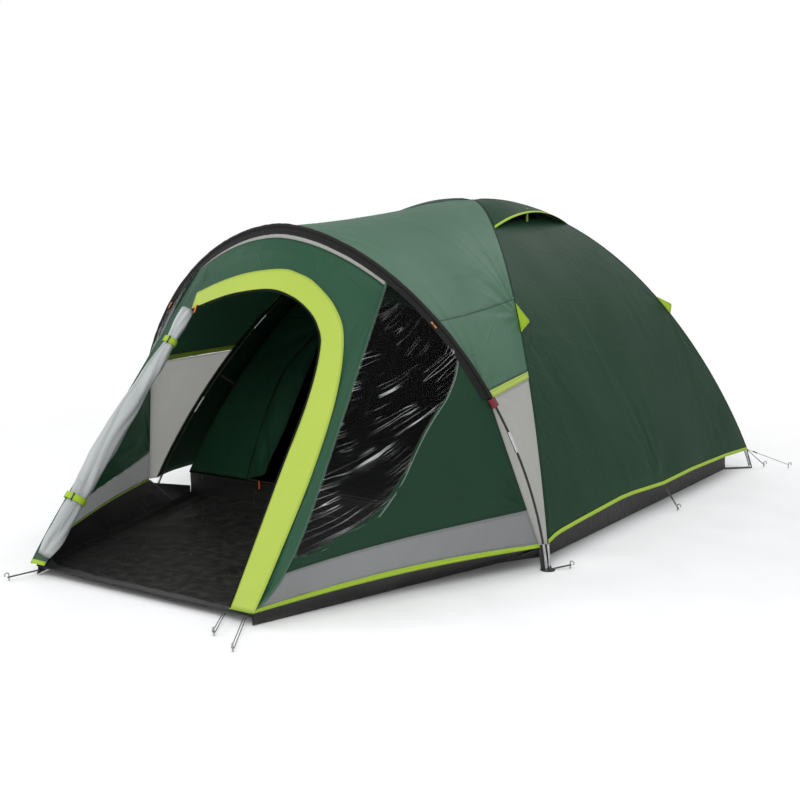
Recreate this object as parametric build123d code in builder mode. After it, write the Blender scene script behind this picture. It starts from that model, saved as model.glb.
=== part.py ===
# Dome tent with a porch: two crossed main poles, a leaning porch arch, fly, inner tent and groundsheets.
# Millimetres, +Z up, +Y towards the rear. The origin is on the ground, midway between the front pole feet.
import os
from math import cos, radians, sin, sqrt, tan

from build123d import *

os.makedirs("parts", exist_ok=True)

# ---- driving sizes ----
half_width = 1050  # from the centre line to a pole foot
bed_length = 2300  # from the front pole feet to the rear ones
crown_height = 1390  # centre line of the upper main pole at the crown
porch_depth = 1200  # from the pole feet to the porch's front edge
porch_half = 540  # half the porch's front edge
arch_height = 1350  # along the leaning plane of the arch
arch_lean = 13  # degrees that the arch leans forward
arch_foot_y = -24  # the arch stands this far in front of the main pole's foot
main_fullness = 0.862  # exponent of the main poles' curve
arch_fullness = 1.78  # exponent of the arch's curve

pole_d = 9.5
foot_height = 12  # the poles end this far above the ground, on their pins
pole_bore = 5.0
cord_d = 3.4  # shock cord inside the poles
ferrule_d = 13.0
ferrule_length = 85
joint_gap = 0.6  # between the ends of two pole sections, inside a ferrule
tip_d = 11.5
tip_length = 105
pin_d = 5.0
slip = 0.3  # radial clearance of a pole in what it passes through
main_sections = 9
arch_sections = 7

cloth = 1.6  # thickness that stands for a panel of cloth
seam_gap = 0.6  # between two panels at a seam
porch_seam_gap = 2.6  # beside the front panel, whose edges swell
fly_drop = 4.0  # from a main pole to the fly above it
sleeve_half_width = 30
sleeve_half_height = 8
tab_length = 36
hem = 95  # height of the fly's edge at the dome
porch_hem = 50  # height of the fly's edge at the porch's front
binding = 16  # width of the hem binding
corner_inset = 20  # from the arch's foot in to the fly's corner

door_top_x = 0.46  # half the front panel's top edge, as a share of half_width
seam_bow = 110  # how far the porch seams swell sideways
facing_share = 0.03  # of the front panel's height, for the grey facing under the sleeve
mud_share = 0.095  # of the side panel's height, for the grey strip at its foot
trim_thick = 1.4
zip_width = 7
zip_thick = 2.4
zip_end = 70  # height of the door zip's lower end

shoulder_arch = 701  # height along the arch where the grey side panel begins
shoulder_main = 692  # and on the main pole
shoulder_band = 26  # height of the bright strip above it

vent_reach = 330  # from the crown line to the vent hood's free edge
vent_lift = 70  # how far the vent hood is propped open at the middle
vent_half = 150  # half the length of the mesh opening
prop_width = 18
prop_thick = 2.6

inner_half = 985  # half width that the inner tent's curve would have at the ground
inner_height = 1345
inner_front = 1030  # from the crown forward to the inner tent's front curve at the ground
inner_rear = 1080  # the same to the rear
wall = 1.2  # thickness that stands for the inner tent's cloth
tub_height = 110
tub_wall = 2.0
porch_lip = 40
porch_tub_front = -1182
porch_tub_half = 520
porch_tub_back = 905

webbing = 2.5
webbing_width = 34
peg_wire = 5.0
loop_cord = 3.0

crown_y = bed_length / 2
pole_r = pole_d / 2
arch_plane = Plane(
    origin=(0, arch_foot_y, 0),
    x_dir=(1, 0, 0),
    z_dir=(0, -cos(radians(arch_lean)), -sin(radians(arch_lean))),
)
arch_back = arch_plane.z_dir * -1


# ---- curves that everything is set out from ----
def main_rise(share):
    return (1 - min(abs(share), 1) ** 2) ** main_fullness


def main_share(height, crown=crown_height):
    return sqrt(1 - (height / crown) ** (1 / main_fullness))


def arch_rise(share):
    return sqrt(1 - min(abs(share), 1) ** arch_fullness)


def arch_share(height):
    return (1 - (height / arch_height) ** 2) ** (1 / arch_fullness)


def slope(curve, at, step=1e-4):
    low, high = max(at - step, -1), min(at + step, 1)
    return (curve(high) - curve(low)).normalized()


def bent_route(curve, stations):
    """Corner points and radii of straight runs and tangent arcs that follow a curve."""
    marks = [curve(s) for s in stations]
    ways = [slope(curve, s) for s in stations]
    corners = [marks[0]]
    radii = []
    for (p, q), (a, b) in zip(zip(marks, marks[1:]), zip(ways, ways[1:])):
        reach = ((q.X - p.X) * b.Y - (q.Y - p.Y) * b.X) / (a.X * b.Y - a.Y * b.X)
        corner = p + a * reach
        run = 0.98 * min((corner - p).length, (q - corner).length)
        corners.append(corner)
        radii.append(run / tan(radians(a.get_angle(b)) / 2))
    return [tuple(c) for c in corners + [marks[-1]]], radii


def route_on(plane, curve, stations):
    corners, radii = bent_route(curve, stations)
    with BuildLine(plane) as line:
        FilletPolyline(*corners, radius=radii)
    return line.wire()


def spread(stations):
    return [-s for s in reversed(stations)] + stations


def main_plane(side):
    """Upright plane of the main pole whose front foot is on this side; X runs towards that foot."""
    along = Vector(side * half_width, -crown_y, 0)
    return Plane(origin=(0, crown_y, 0), x_dir=along, z_dir=along.cross(Vector(0, 0, 1)))


def main_curve(drop):
    reach = sqrt(half_width**2 + crown_y**2)
    return lambda s: Vector(reach * s, (crown_height - drop) * main_rise(s))


def arch_curve(s):
    return Vector(half_width * s, arch_height * arch_rise(s))


# ---- poles ----
tab_x = arch_share(shoulder_arch)  # the sleeve ends at this share of half_width
sleeve_stations = spread([0.12, 0.28, 0.46, 0.62, tab_x])
arch_feet = [0.92, 0.975, arch_share(foot_height)]
main_stations = spread([0.18, 0.38, 0.56, 0.7, 0.81, 0.9, 0.96, main_share(foot_height)])
arch_stations = [-s for s in reversed(arch_feet)] + sleeve_stations + arch_feet
lower_drop = pole_d + 0.5  # the lower main pole passes under the upper one
route_a = route_on(main_plane(1), main_curve(0), main_stations)
route_b = route_on(main_plane(-1), main_curve(lower_drop), main_stations)
route_arch = route_on(arch_plane, arch_curve, arch_stations)


def ring_on(run, outer, inner=0.0):
    with BuildSketch(Plane(origin=run @ 0, z_dir=run % 0)) as section:
        Circle(outer / 2)
        if inner:
            Circle(inner / 2, mode=Mode.SUBTRACT)
    return section.sketch


def stretch(route, start, end):
    """The part of a route between two lengths, measured from its first end."""
    return route.trim(start / route.length, end / route.length)


def section_ends(route, count):
    seat = tip_length - ferrule_length / 2
    step = route.length / count
    ends = [seat] + [step * k for k in range(1, count)] + [route.length - seat]
    half_gap = joint_gap / 2
    return [(a + half_gap, b - half_gap) for a, b in zip(ends, ends[1:])]


poles = {
    "main_pole_upper": (route_a, main_sections),
    "main_pole_lower": (route_b, main_sections),
    "porch_arch_pole": (route_arch, arch_sections),
}
for name, (route, count) in poles.items():
    with BuildPart() as pole:
        for start, end in section_ends(route, count):
            run = stretch(route, start, end)
            sweep(ring_on(run, pole_d, pole_bore), path=run)
    pole.part.label = name
    export_step(pole.part, f"parts/{name}.step")

with BuildPart() as pole_ferrules:
    for route, count in poles.values():
        for k in range(1, count):
            middle = route.length * k / count
            run = stretch(route, middle - ferrule_length / 2, middle + ferrule_length / 2)
            sweep(ring_on(run, ferrule_d, pole_d + 2 * slip), path=run)
pole_ferrules.part.label = "pole_ferrules"
export_step(pole_ferrules.part, "parts/pole_ferrules.step")

with BuildPart() as shock_cords:
    for route, count in poles.values():
        run = stretch(route, tip_length, route.length - tip_length)
        sweep(ring_on(run, cord_d), path=run)
shock_cords.part.label = "shock_cords"
export_step(shock_cords.part, "parts/shock_cords.step")

# each tip is a cup that the last section stands in, with a pin for the corner eyelet
pin_length = 12
cup_depth = ferrule_length / 2
with BuildPart() as pole_tips:
    for route, count in poles.values():
        for turn in (False, True):
            whole = route.length
            low = whole - tip_length if turn else 0
            run = stretch(route, low, low + tip_length)
            sweep(ring_on(run, tip_d), path=run)
            cup = whole - tip_length if turn else tip_length - cup_depth
            hollow = stretch(route, cup, cup + cup_depth)
            sweep(ring_on(hollow, pole_d + 2 * slip), path=hollow, mode=Mode.SUBTRACT)
            end = route @ (1 if turn else 0)
            with BuildSketch(Plane(origin=(end.X, end.Y, 0.4))):
                Circle(pin_d / 2)
            extrude(amount=end.Z + 4)
pole_tips.part.label = "pole_tips"
export_step(pole_tips.part, "parts/pole_tips.step")
print("poles", [round(route.length) for route, count in poles.values()])


# ---- ruled panels: each ruling is a thin strip, and a loft joins them ----
def strip(start, end, outward, thickness=cloth, lift=0.0):
    run = end - start
    plane = Plane(origin=start, x_dir=run, z_dir=run.cross(outward))
    with BuildSketch(plane) as section:
        with Locations((0, lift)):
            Rectangle(run.length, thickness, align=(Align.MIN, Align.MIN))
    return section.sketch


def stretched(start, end, before=0.0, after=0.0):
    way = (end - start).normalized()
    return start - way * before, end + way * after


sleeve_seat = sleeve_half_height + 1.3 + cloth  # from the arch's centre line in to the fly


def arch_inset(share, inset=sleeve_seat):
    """A point of the leaning plane, inside the arch."""
    way = slope(arch_curve, share)
    outward = Vector(-way.Y, way.X)
    flat = arch_curve(share) - outward * inset
    return arch_plane.from_local_coords(Vector(flat.X, flat.Y, 0))


fly_corner = arch_plane.from_local_coords(Vector(half_width - corner_inset, hem, 0))
tab_point = arch_inset(tab_x)


def arch_edge(share):
    """Edge of the cloth at the arch: under the sleeve, then straight from the tab to the corner."""
    if share <= tab_x:
        return arch_inset(share)
    return tab_point + (fly_corner - tab_point) * ((share - tab_x) / (1 - tab_x))


def main_edge(share, side=1, end=-1, above=pole_r + fly_drop):
    """A point of the fly's crease above a main pole."""
    rise = 1e-3
    here = Vector(half_width * share, crown_height * main_rise(share), 0)
    there = Vector(half_width * (share + rise), crown_height * main_rise(share + rise), 0)
    way = (there - here).normalized()
    out_x = here.X - way.Y * above
    out_z = here.Y + way.X * above
    return Vector(side * out_x, crown_y + end * out_x * crown_y / half_width, out_z)


front_line = Plane(origin=(0, -porch_depth, porch_hem), x_dir=(1, 0, 0), z_dir=arch_plane.z_dir)


def swell(share):
    return seam_bow * share * (1 - share**10)


def front_place(across, down):
    """A point of the porch's front panel, in its section plane at this share of the way down."""
    top = arch_inset(door_top_x * abs(across))
    flat = arch_plane.to_local_coords(top)
    x = flat.X * (1 - down) + (porch_half * abs(across)) * down + swell(down) * abs(across)
    return Vector(x if across >= 0 else -x, flat.Y * (1 - down), 0)


def front_plane(down):
    origin = arch_plane.origin * (1 - down) + front_line.origin * down
    return Plane(origin=origin, x_dir=(1, 0, 0), z_dir=arch_plane.z_dir)


def front_point(across, down):
    return front_plane(down).from_local_coords(front_place(across, down))


front_columns = [-1, -0.7, -0.35, 0, 0.35, 0.7, 1]
edge_share = 1 - porch_seam_gap / porch_half


def front_section(down, lift=0.0, thickness=cloth):
    low = [front_place(c * edge_share, down) + Vector(0, lift, 0) for c in front_columns]
    high = [p + Vector(0, thickness, 0) for p in low]
    with BuildSketch(front_plane(down)) as section:
        with BuildLine():
            Spline(*[tuple(p) for p in low])
            Line(tuple(low[-1]), tuple(high[-1]))
            Spline(*[tuple(p) for p in reversed(high)])
            Line(tuple(high[0]), tuple(low[0]))
        make_face()
    return section.sketch


def front_shell(top, bottom, lift=0.0, thickness=cloth):
    rows = [0.0, 0.12, 0.3, 0.5, 0.7, 0.84, 0.93, 1.0]
    shares = [top] + [r for r in rows if top + 0.02 < r < bottom - 0.02] + [bottom]
    return [front_section(s, lift, thickness) for s in shares]


# ---- door, trim and zip, set out on the upright plane and pressed through the front panel ----
door_side = [(-330, 968), (-482, -60)]
door_curve = [(-330, 968), (-100, 1046), (58, 1068), (257, 1006), (362, 875), (400, 698), (418, 440)]
door_foot = (446, -60)
trim_curve = [(-352, 1036), (-67, 1132), (80, 1150), (240, 1103), (434, 909), (505, 700), (545, 440)]
trim_foot = (600, -60)
press = 1500


def door_face(grow=0.0):
    with BuildSketch(Plane.XZ) as face:
        with BuildLine():
            Line(door_side[1], door_side[0])
            Spline(*door_curve)
            Line(door_curve[-1], door_foot)
            Line(door_foot, door_side[1])
        make_face()
        if grow:
            offset(amount=grow)
    return face.sketch


def trim_face():
    with BuildSketch(Plane.XZ) as face:
        with BuildLine():
            Spline(*trim_curve)
            Line(trim_curve[-1], trim_foot)
            Line(trim_foot, door_foot)
            Line(door_foot, door_curve[-1])
            Spline(*reversed(door_curve))
            Line(door_curve[0], trim_curve[0])
        make_face()
    return face.sketch


def beside(points, gap):
    """Points at a distance to the left of a smooth curve through these points."""
    curve = Spline(*points, mode=Mode.PRIVATE)
    places = [k / 8 for k in range(9)]
    return [tuple(curve @ k + Vector(0, 0, 1).cross(curve % k) * gap)[:2] for k in places]


def zip_face():
    near, far = beside(door_curve, 3), beside(door_curve, 3 + zip_width)
    with BuildSketch(Plane.XZ) as face:
        with BuildLine():
            Spline(*near)
            Line(near[-1], (door_foot[0] + 1, zip_end))
            Line((door_foot[0] + 1, zip_end), (door_foot[0] + 1 + zip_width, zip_end))
            Line((door_foot[0] + 1 + zip_width, zip_end), far[-1])
            Spline(*reversed(far))
            Line(far[0], near[0])
        make_face()
    return face.sketch


facing_end = facing_share + 0.0005
binding_share = 1 - binding / 1400

with BuildPart() as porch_facing:
    loft(front_shell(0.001, facing_share))
porch_facing.part.label = "porch_facing"
export_step(porch_facing.part, "parts/porch_facing.step")

with BuildPart() as fly_front_panel:
    loft(front_shell(facing_end, binding_share))
    extrude(door_face(), amount=press, both=True, mode=Mode.SUBTRACT)
fly_front_panel.part.label = "fly_front_panel"
export_step(fly_front_panel.part, "parts/fly_front_panel.step")

trim_lift = cloth + 0.4
with BuildPart() as door_trim:
    loft(front_shell(facing_end, binding_share, trim_lift, trim_thick))
    extrude(trim_face(), amount=press, both=True, mode=Mode.INTERSECT)
door_trim.part.label = "door_trim"
export_step(door_trim.part, "parts/door_trim.step")

zip_lift = trim_lift + trim_thick + 0.4
with BuildPart() as door_zip:
    loft(front_shell(facing_end, binding_share, zip_lift, zip_thick))
    extrude(zip_face(), amount=press, both=True, mode=Mode.INTERSECT)
door_zip.part.label = "door_zip"
export_step(door_zip.part, "parts/door_zip.step")
print("front", fly_front_panel.part.volume, door_trim.part.volume, door_zip.part.volume)


# ---- porch side panels with their windows ----
def outward_from(point, centre=Vector(0, 500, 250)):
    return point - centre


def side_ruling(down):
    """A line across the porch's side panel, from the arch to the front seam."""
    top = arch_height * arch_rise(door_top_x)
    share = arch_share(top * (1 - down) + 1 * down)
    return arch_edge(share), front_point(1, down)


def side_sections(shares, lift=0.0, thickness=cloth):
    sections = []
    for share in shares:
        back, front = side_ruling(share)
        start, end = stretched(back, front, before=25)
        sections.append(strip(start, end, outward_from((start + end) / 2), thickness, lift))
    return sections


def half_space(forward):
    """A block on one side of the arch's plane, half a seam gap away from it."""
    way = arch_back * (-1 if forward else 1)
    start = arch_plane.origin + way * seam_gap / 2
    with BuildSketch(Plane(origin=start, x_dir=(1, 0, 0), z_dir=way)) as face:
        Rectangle(6000, 6000)
    return face.sketch


window_tip = (-1035, 222)
window_top = (-352, 1036)
window_side = [(-262, 818), (-300, 720), (-431, 565), (-545, 429), (-650, 340), (-813, 262), window_tip]
window_middle = (-500, 650)
window_lap = 1.03  # the clear pane is this much larger than its opening


def window_face(grow=1.0):
    def placed(point):
        return tuple(m + (p - m) * grow for p, m in zip(point, window_middle))

    with BuildSketch(Plane.YZ) as face:
        with BuildLine():
            Line(placed(window_tip), placed(window_top))
            Line(placed(window_top), placed(window_side[0]))
            Spline(*[placed(p) for p in window_side])
        make_face()
    return face.sketch


mud_top = 1 - mud_share
side_binding = 1 - binding / 1000
thin_gap = 0.0006  # of the panel's height
pane = 0.8
green_shares = [0.035, 0.08, 0.15, 0.24, 0.34, 0.45, 0.56, 0.67, 0.78, mud_top - thin_gap]
mud_shares = [mud_top, (mud_top + side_binding) / 2, side_binding - thin_gap]

with BuildPart() as fly_porch_right:
    loft(side_sections(green_shares), ruled=True)
    extrude(half_space(True), amount=3000, mode=Mode.INTERSECT)
    extrude(window_face(), amount=press, mode=Mode.SUBTRACT)

with BuildPart() as window_right:
    loft(side_sections(green_shares, -0.3 - pane, pane), ruled=True)
    extrude(half_space(True), amount=3000, mode=Mode.INTERSECT)
    extrude(window_face(window_lap), amount=press, mode=Mode.INTERSECT)

with BuildPart() as mud_strip_right:
    loft(side_sections(mud_shares), ruled=True)
    extrude(half_space(True), amount=3000, mode=Mode.INTERSECT)


# ---- hood between the arch and the crown, bright strips and grey side panels ----
crease_slope = crown_y / half_width


def front_region():
    """Plan of everything in front of the two front creases."""
    far = 2000
    corner = crown_y - seam_gap
    with BuildSketch(Plane.XY) as face:
        with BuildLine():
            Polyline(
                (0, corner), (far, corner - far * crease_slope), (far, -4000),
                (-far, -4000), (-far, corner - far * crease_slope), close=True,
            )
        make_face()
    return face.sketch


def hood_ruling(arch_at, main_at):
    side = -1 if arch_at < 0 else 1
    start, end = arch_edge(abs(arch_at)), main_edge(main_at)
    start, end = stretched(start, end, before=30, after=45)
    start = Vector(side * start.X, start.Y, start.Z)
    end = Vector(side * end.X, end.Y, end.Z)
    return strip(start, end, Vector((start.X + end.X) / 2, 0, (start.Z + end.Z) / 2 - 250))


strip_arch = arch_share(shoulder_arch + shoulder_band)
strip_main = main_share(shoulder_main + shoulder_band)
hood_steps = [0.03, 0.1, 0.2, 0.32, 0.45, 0.58, 0.7, 0.8, 0.9, 1.0]

with BuildPart() as fly_hood:
    loft(
        [hood_ruling(k * strip_arch, abs(k) * strip_main) for k in spread(hood_steps)],
        ruled=True,
    )
    extrude(half_space(False), amount=4000, mode=Mode.INTERSECT)
    extrude(front_region(), amount=3000, mode=Mode.INTERSECT)
fly_hood.part.label = "fly_hood"
export_step(fly_hood.part, "parts/fly_hood.step")

grey_main = main_share(shoulder_main)
with BuildPart() as shoulder_strip_right:
    edges = [(strip_arch + thin_gap, strip_main + thin_gap), (tab_x - thin_gap, grey_main - thin_gap)]
    loft([hood_ruling(a, m) for a, m in edges], ruled=True)
    extrude(half_space(False), amount=4000, mode=Mode.INTERSECT)
    extrude(front_region(), amount=3000, mode=Mode.INTERSECT)

with BuildPart() as grey_panel_right:
    steps = [0.0, 0.15, 0.3, 0.45, 0.6, 0.72, 0.84, 0.93, 1.0]
    rulings = []
    for k in steps:
        height = shoulder_main * (1 - k) + hem * k
        rulings.append(hood_ruling(tab_x + (1 - tab_x) * k, main_share(height)))
    loft(rulings, ruled=True)
    extrude(half_space(False), amount=4000, mode=Mode.INTERSECT)
    extrude(front_region(), amount=3000, mode=Mode.INTERSECT)


# ---- dome panels: curved bands cut along the creases ----
def fly_profile(share, above):
    edge = main_edge(share, above=above)
    return edge.X, edge.Z


def band_face(plane, profile, top, low, thickness, stretch_x=1.0):
    """A curved band on an upright plane: X outward from the crown, Y up."""
    count = 9
    shares = [top + (low - top) * sin(radians(90 * k / count)) for k in range(count + 1)]
    inner = [(x * stretch_x, z) for x, z in (profile(s, 0) for s in shares)]
    outer = [(x * stretch_x, z) for x, z in (profile(s, thickness) for s in shares)]
    with BuildSketch(plane) as face:
        with BuildLine():
            Spline(*inner)
            Line(inner[-1], outer[-1])
            Spline(*reversed(outer))
            Line(outer[0], inner[0])
        make_face()
    return face.sketch


def wedge_face(front_slope, rear_slope, gap=seam_gap):
    """Plan of the right-hand panel, between its two creases."""
    far = 2000
    start = gap
    with BuildSketch(Plane.XY) as face:
        with BuildLine():
            Polyline(
                (start, crown_y), (far, crown_y - (far - start) * front_slope),
                (far, crown_y + (far - start) * rear_slope), close=True,
            )
        make_face()
    return face.sketch


def end_wedge(slope_out, forward, gap=seam_gap):
    """Plan of a front or rear panel, between its two creases."""
    far = 2000
    way = -1 if forward else 1
    apex = crown_y + way * gap
    with BuildSketch(Plane.XY) as face:
        with BuildLine():
            Polyline(
                (0, apex), (far / slope_out, apex + way * far),
                (-far / slope_out, apex + way * far), close=True,
            )
        make_face()
    return face.sketch


def fly_band(share, thickness):
    return fly_profile(share, pole_r + fly_drop + thickness)


side_plane = Plane.XZ.offset(-crown_y)
rear_plane = Plane(origin=(0, crown_y, 0), x_dir=(0, 1, 0), z_dir=(1, 0, 0))
front_wall_plane = Plane(origin=(0, crown_y, 0), x_dir=(0, -1, 0), z_dir=(-1, 0, 0))
bind_share = main_share(hem + binding)
bind_top = main_share(hem + binding - 0.6)
hem_share = main_share(hem)
vent_x = vent_reach - 95
vent_radius_x = 55


def rear_band(top, low):
    return band_face(rear_plane, fly_band, top, low, cloth, crease_slope)


def vent_face(shrink=0.0):
    with BuildSketch(Plane.XY) as face:
        with Locations((vent_x, crown_y)):
            Ellipse(vent_radius_x - shrink, vent_half - shrink)
    return face.sketch


with BuildPart() as fly_dome_right:
    extrude(band_face(side_plane, fly_band, 0, bind_share, cloth), amount=press, both=True)
    extrude(wedge_face(crease_slope, crease_slope), amount=3000, mode=Mode.INTERSECT)
    extrude(vent_face(), amount=3000, mode=Mode.SUBTRACT)

with BuildPart() as vent_mesh_right:
    extrude(band_face(side_plane, fly_band, 0, bind_share, cloth / 2), amount=press, both=True)
    extrude(vent_face(0.4), amount=3000, mode=Mode.INTERSECT)

with BuildPart() as fly_dome_rear:
    extrude(rear_band(0, bind_share), amount=press, both=True)
    extrude(end_wedge(crease_slope, False), amount=3000, mode=Mode.INTERSECT)
fly_dome_rear.part.label = "fly_dome_rear"
export_step(fly_dome_rear.part, "parts/fly_dome_rear.step")

with BuildPart() as side_edge:
    extrude(band_face(side_plane, fly_band, bind_top, hem_share, cloth), amount=press, both=True)
    extrude(wedge_face(crease_slope, crease_slope), amount=3000, mode=Mode.INTERSECT)

with BuildPart() as rear_edge:
    extrude(rear_band(bind_top, hem_share), amount=press, both=True)
    extrude(end_wedge(crease_slope, False), amount=3000, mode=Mode.INTERSECT)

with BuildPart() as porch_edge:
    loft(side_sections([side_binding, 1.0]), ruled=True)
    extrude(half_space(True), amount=3000, mode=Mode.INTERSECT)

with BuildPart() as front_edge:
    loft(front_shell(binding_share + 0.0005, 1.0))
    extrude(door_face(), amount=press, both=True, mode=Mode.SUBTRACT)

with BuildPart() as hem_binding:
    for edge in (side_edge, porch_edge):
        add(edge.part)
        mirror(edge.part, about=Plane.YZ)
    add(rear_edge.part)
    add(front_edge.part)
hem_binding.part.label = "hem_binding"
export_step(hem_binding.part, "parts/hem_binding.step")


# ---- vent hoods over the mesh, each held open by a prop ----
def panel_top(x):
    """Height of the fly's outer face above this distance from the crown line."""
    rise = 0.5
    here, there = main_rise(x / half_width), main_rise((x + rise) / half_width)
    fall = (there - here) * crown_height / rise
    return crown_height * here + (pole_r + fly_drop + cloth) * sqrt(1 + fall**2)


hood_steps_x = [k / 6 for k in range(7)]
vent_span = vent_reach * crease_slope - 14
hood_seat = 1.9  # clears the panel's curve between the steps


def visor_lift(along, reach):
    return vent_lift * (1 - (along / vent_span) ** 2) * reach + hood_seat


def visor_section(along):
    start = abs(along) / crease_slope + 8
    xs = [start + (vent_reach - start) * k for k in hood_steps_x]
    low = [(x, panel_top(x) + visor_lift(along, k)) for x, k in zip(xs, hood_steps_x)]
    high = [(x, z + cloth) for x, z in low]
    with BuildSketch(Plane.XZ.offset(-crown_y - along)) as section:
        with BuildLine():
            Polyline(*low, *reversed(high), close=True)
        make_face()
    return section.sketch


visor_steps = [0.06, 0.3, 0.55, 0.8, 0.985]
with BuildPart() as vent_hood_right:
    loft([visor_section(vent_span * k) for k in spread(visor_steps)], ruled=True)

prop_x = vent_reach - 26
prop_foot = panel_top(prop_x) + prop_thick / 2 + 0.6
prop_rise = visor_lift(0, (prop_x - 8) / (vent_reach - 8)) - prop_thick - 2.2
with BuildPart() as vent_prop_right:
    with BuildSketch(Plane.XZ.offset(-crown_y)):
        with Locations((prop_x, prop_foot + prop_rise / 2)):
            SlotOverall(prop_rise + prop_thick, prop_thick, rotation=90)
    extrude(amount=prop_width / 2, both=True)
print("prop pivot", prop_x, crown_y, round(prop_foot, 2), "rise", round(prop_rise, 2))


# ---- arch sleeve, its end bands and toggles ----
def oval_on(run, half_wide):
    section_plane = Plane(origin=run @ 0, x_dir=arch_plane.z_dir, z_dir=run % 0)
    with BuildSketch(section_plane) as section:
        Ellipse(half_wide, sleeve_half_height)
        Circle(ferrule_d / 2 + 0.4, mode=Mode.SUBTRACT)
    return section.sketch


sleeve_route = route_on(arch_plane, arch_curve, sleeve_stations)
sleeve_start = (route_arch.length - sleeve_route.length) / 2
with BuildPart() as arch_sleeve:
    sweep(oval_on(sleeve_route, sleeve_half_width), path=sleeve_route)
arch_sleeve.part.label = "arch_sleeve"
export_step(arch_sleeve.part, "parts/arch_sleeve.step")

with BuildPart() as sleeve_end_bands:
    for low in (sleeve_start - tab_length, route_arch.length - sleeve_start + 0.5):
        run = stretch(route_arch, low, low + tab_length - 0.5)
        sweep(oval_on(run, sleeve_half_width - 8), path=run)
sleeve_end_bands.part.label = "sleeve_end_bands"
export_step(sleeve_end_bands.part, "parts/sleeve_end_bands.step")


# ---- rolled door, its ties and the zip slider ----
def rod(start, end, diameter, inner=0.0):
    with BuildSketch(Plane(origin=start, z_dir=end - start)) as section:
        Circle(diameter / 2)
        if inner:
            Circle(inner / 2, mode=Mode.SUBTRACT)
    return section.sketch, (end - start).length


def front_at(x, z):
    """The point of the front panel with this x and z."""
    across, down = 0.0, 0.5
    for _ in range(60):
        here = front_point(across, down)
        across += (x - here.X) / 700
        down += (here.Z - z) / 1300
    return front_point(across, down)


def front_normal(x, z):
    along = front_at(x + 4, z) - front_at(x - 4, z)
    up = front_at(x, z + 4) - front_at(x, z - 4)
    return along.cross(up).normalized()


roll_top, roll_foot = (-352, 930), (-492, 78)
roll_radius_top, roll_radius_foot = 15, 46
tie_wall = 2.0
tie_slack = 0.9  # between the rolled door and its ties
roll_seat = cloth + tie_slack + tie_wall + 0.7


def roll_at(k):
    x = roll_top[0] + (roll_foot[0] - roll_top[0]) * k
    z = roll_top[1] + (roll_foot[1] - roll_top[1]) * k
    radius = roll_radius_top + (roll_radius_foot - roll_radius_top) * k
    return front_at(x, z) + front_normal(x, z) * (radius + roll_seat), radius


def roll_plane(k, step=0.01):
    centre = roll_at(k)[0]
    return Plane(origin=centre, z_dir=roll_at(k + step)[0] - roll_at(k - step)[0])


def roll_ring(k, grow, bore=None):
    with BuildSketch(roll_plane(k)) as section:
        Circle(roll_at(k)[1] + grow)
        if bore is not None:
            Circle(roll_at(k)[1] + bore, mode=Mode.SUBTRACT)
    return section.sketch


with BuildPart() as rolled_door:
    loft([roll_ring(k, 0) for k in (0, 0.2, 0.4, 0.6, 0.8, 1.0)])
rolled_door.part.label = "rolled_door"
export_step(rolled_door.part, "parts/rolled_door.step")

tie_width = 20
tie_places = (0.13, 0.8)
with BuildPart() as door_ties:
    for k in tie_places:
        extrude(roll_ring(k, tie_slack + tie_wall, tie_slack), amount=tie_width / 2, both=True)
door_ties.part.label = "door_ties"
export_step(door_ties.part, "parts/door_ties.step")

toggle_d = 7
toggle_length = 30
arch_toggle_down, arch_toggle_in = 0.16, 52  # share of the side panel's height, and in from the arch


def side_frame(down, inward):
    """A point on the right-hand porch panel, the outward way there and the way along the arch."""
    back, front = side_ruling(down)
    lower_back, lower_front = side_ruling(down + 0.02)
    along = (front - back).normalized()
    point = back + along * inward
    step = (lower_back - back).normalized()
    outward = along.cross(step)
    if outward.X < 0:
        outward = outward * -1
    return point, outward.normalized(), step


def toggle_place(k):
    """Middle and way of the toggle that closes a tie of the rolled door."""
    centre, radius = roll_at(k)
    way = roll_plane(k).z_dir
    out = front_normal(-400, 500) * 0.5 + Vector(0.6, -0.6, 0)
    out = (out - way * out.dot(way)).normalized()
    return centre + out * (radius + tie_slack + tie_wall + 0.5 + toggle_d / 2), way


def toggle(middle, way):
    half = way * toggle_length / 2
    return rod(middle - half, middle + half, toggle_d)


with BuildPart() as toggles:
    point, outward, along = side_frame(arch_toggle_down, arch_toggle_in)
    face, length = toggle(point + outward * (cloth + toggle_d / 2 + 0.5), along)
    extrude(face, amount=length)
    mirror(toggles.part, about=Plane.YZ)
    for k in tie_places:
        face, length = toggle(*toggle_place(k))
        extrude(face, amount=length)
toggles.part.label = "toggles"
export_step(toggles.part, "parts/toggles.step")

slider_x, slider_z = -296, 986
slider_size = (15, 9, 6)
pull_length = 38
pull_thick = 2.2
pull_end = 3  # the pull reaches this far past its hole; it swings about that end


def tangent_plane(x, z, toward, lift):
    """A plane on the front panel: X along the zip, Z outward, raised above the zip."""
    normal = front_normal(x, z)
    way = front_at(*toward) - front_at(x, z)
    return Plane(origin=front_at(x, z) + normal * lift, x_dir=way, z_dir=normal)


lean_share = 0.75  # a lift in the leaning sections makes this much square to the panel
slider_lift = (zip_lift + zip_thick) * lean_share + 0.5
slider_plane = tangent_plane(slider_x, slider_z, (slider_x + 90, slider_z + 31), slider_lift)
with BuildPart() as door_zip_slider:
    with BuildSketch(slider_plane):
        RectangleRounded(slider_size[0], slider_size[1], 2)
    extrude(amount=slider_size[2])
door_zip_slider.part.label = "door_zip_slider"
export_step(door_zip_slider.part, "parts/door_zip_slider.step")

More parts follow.
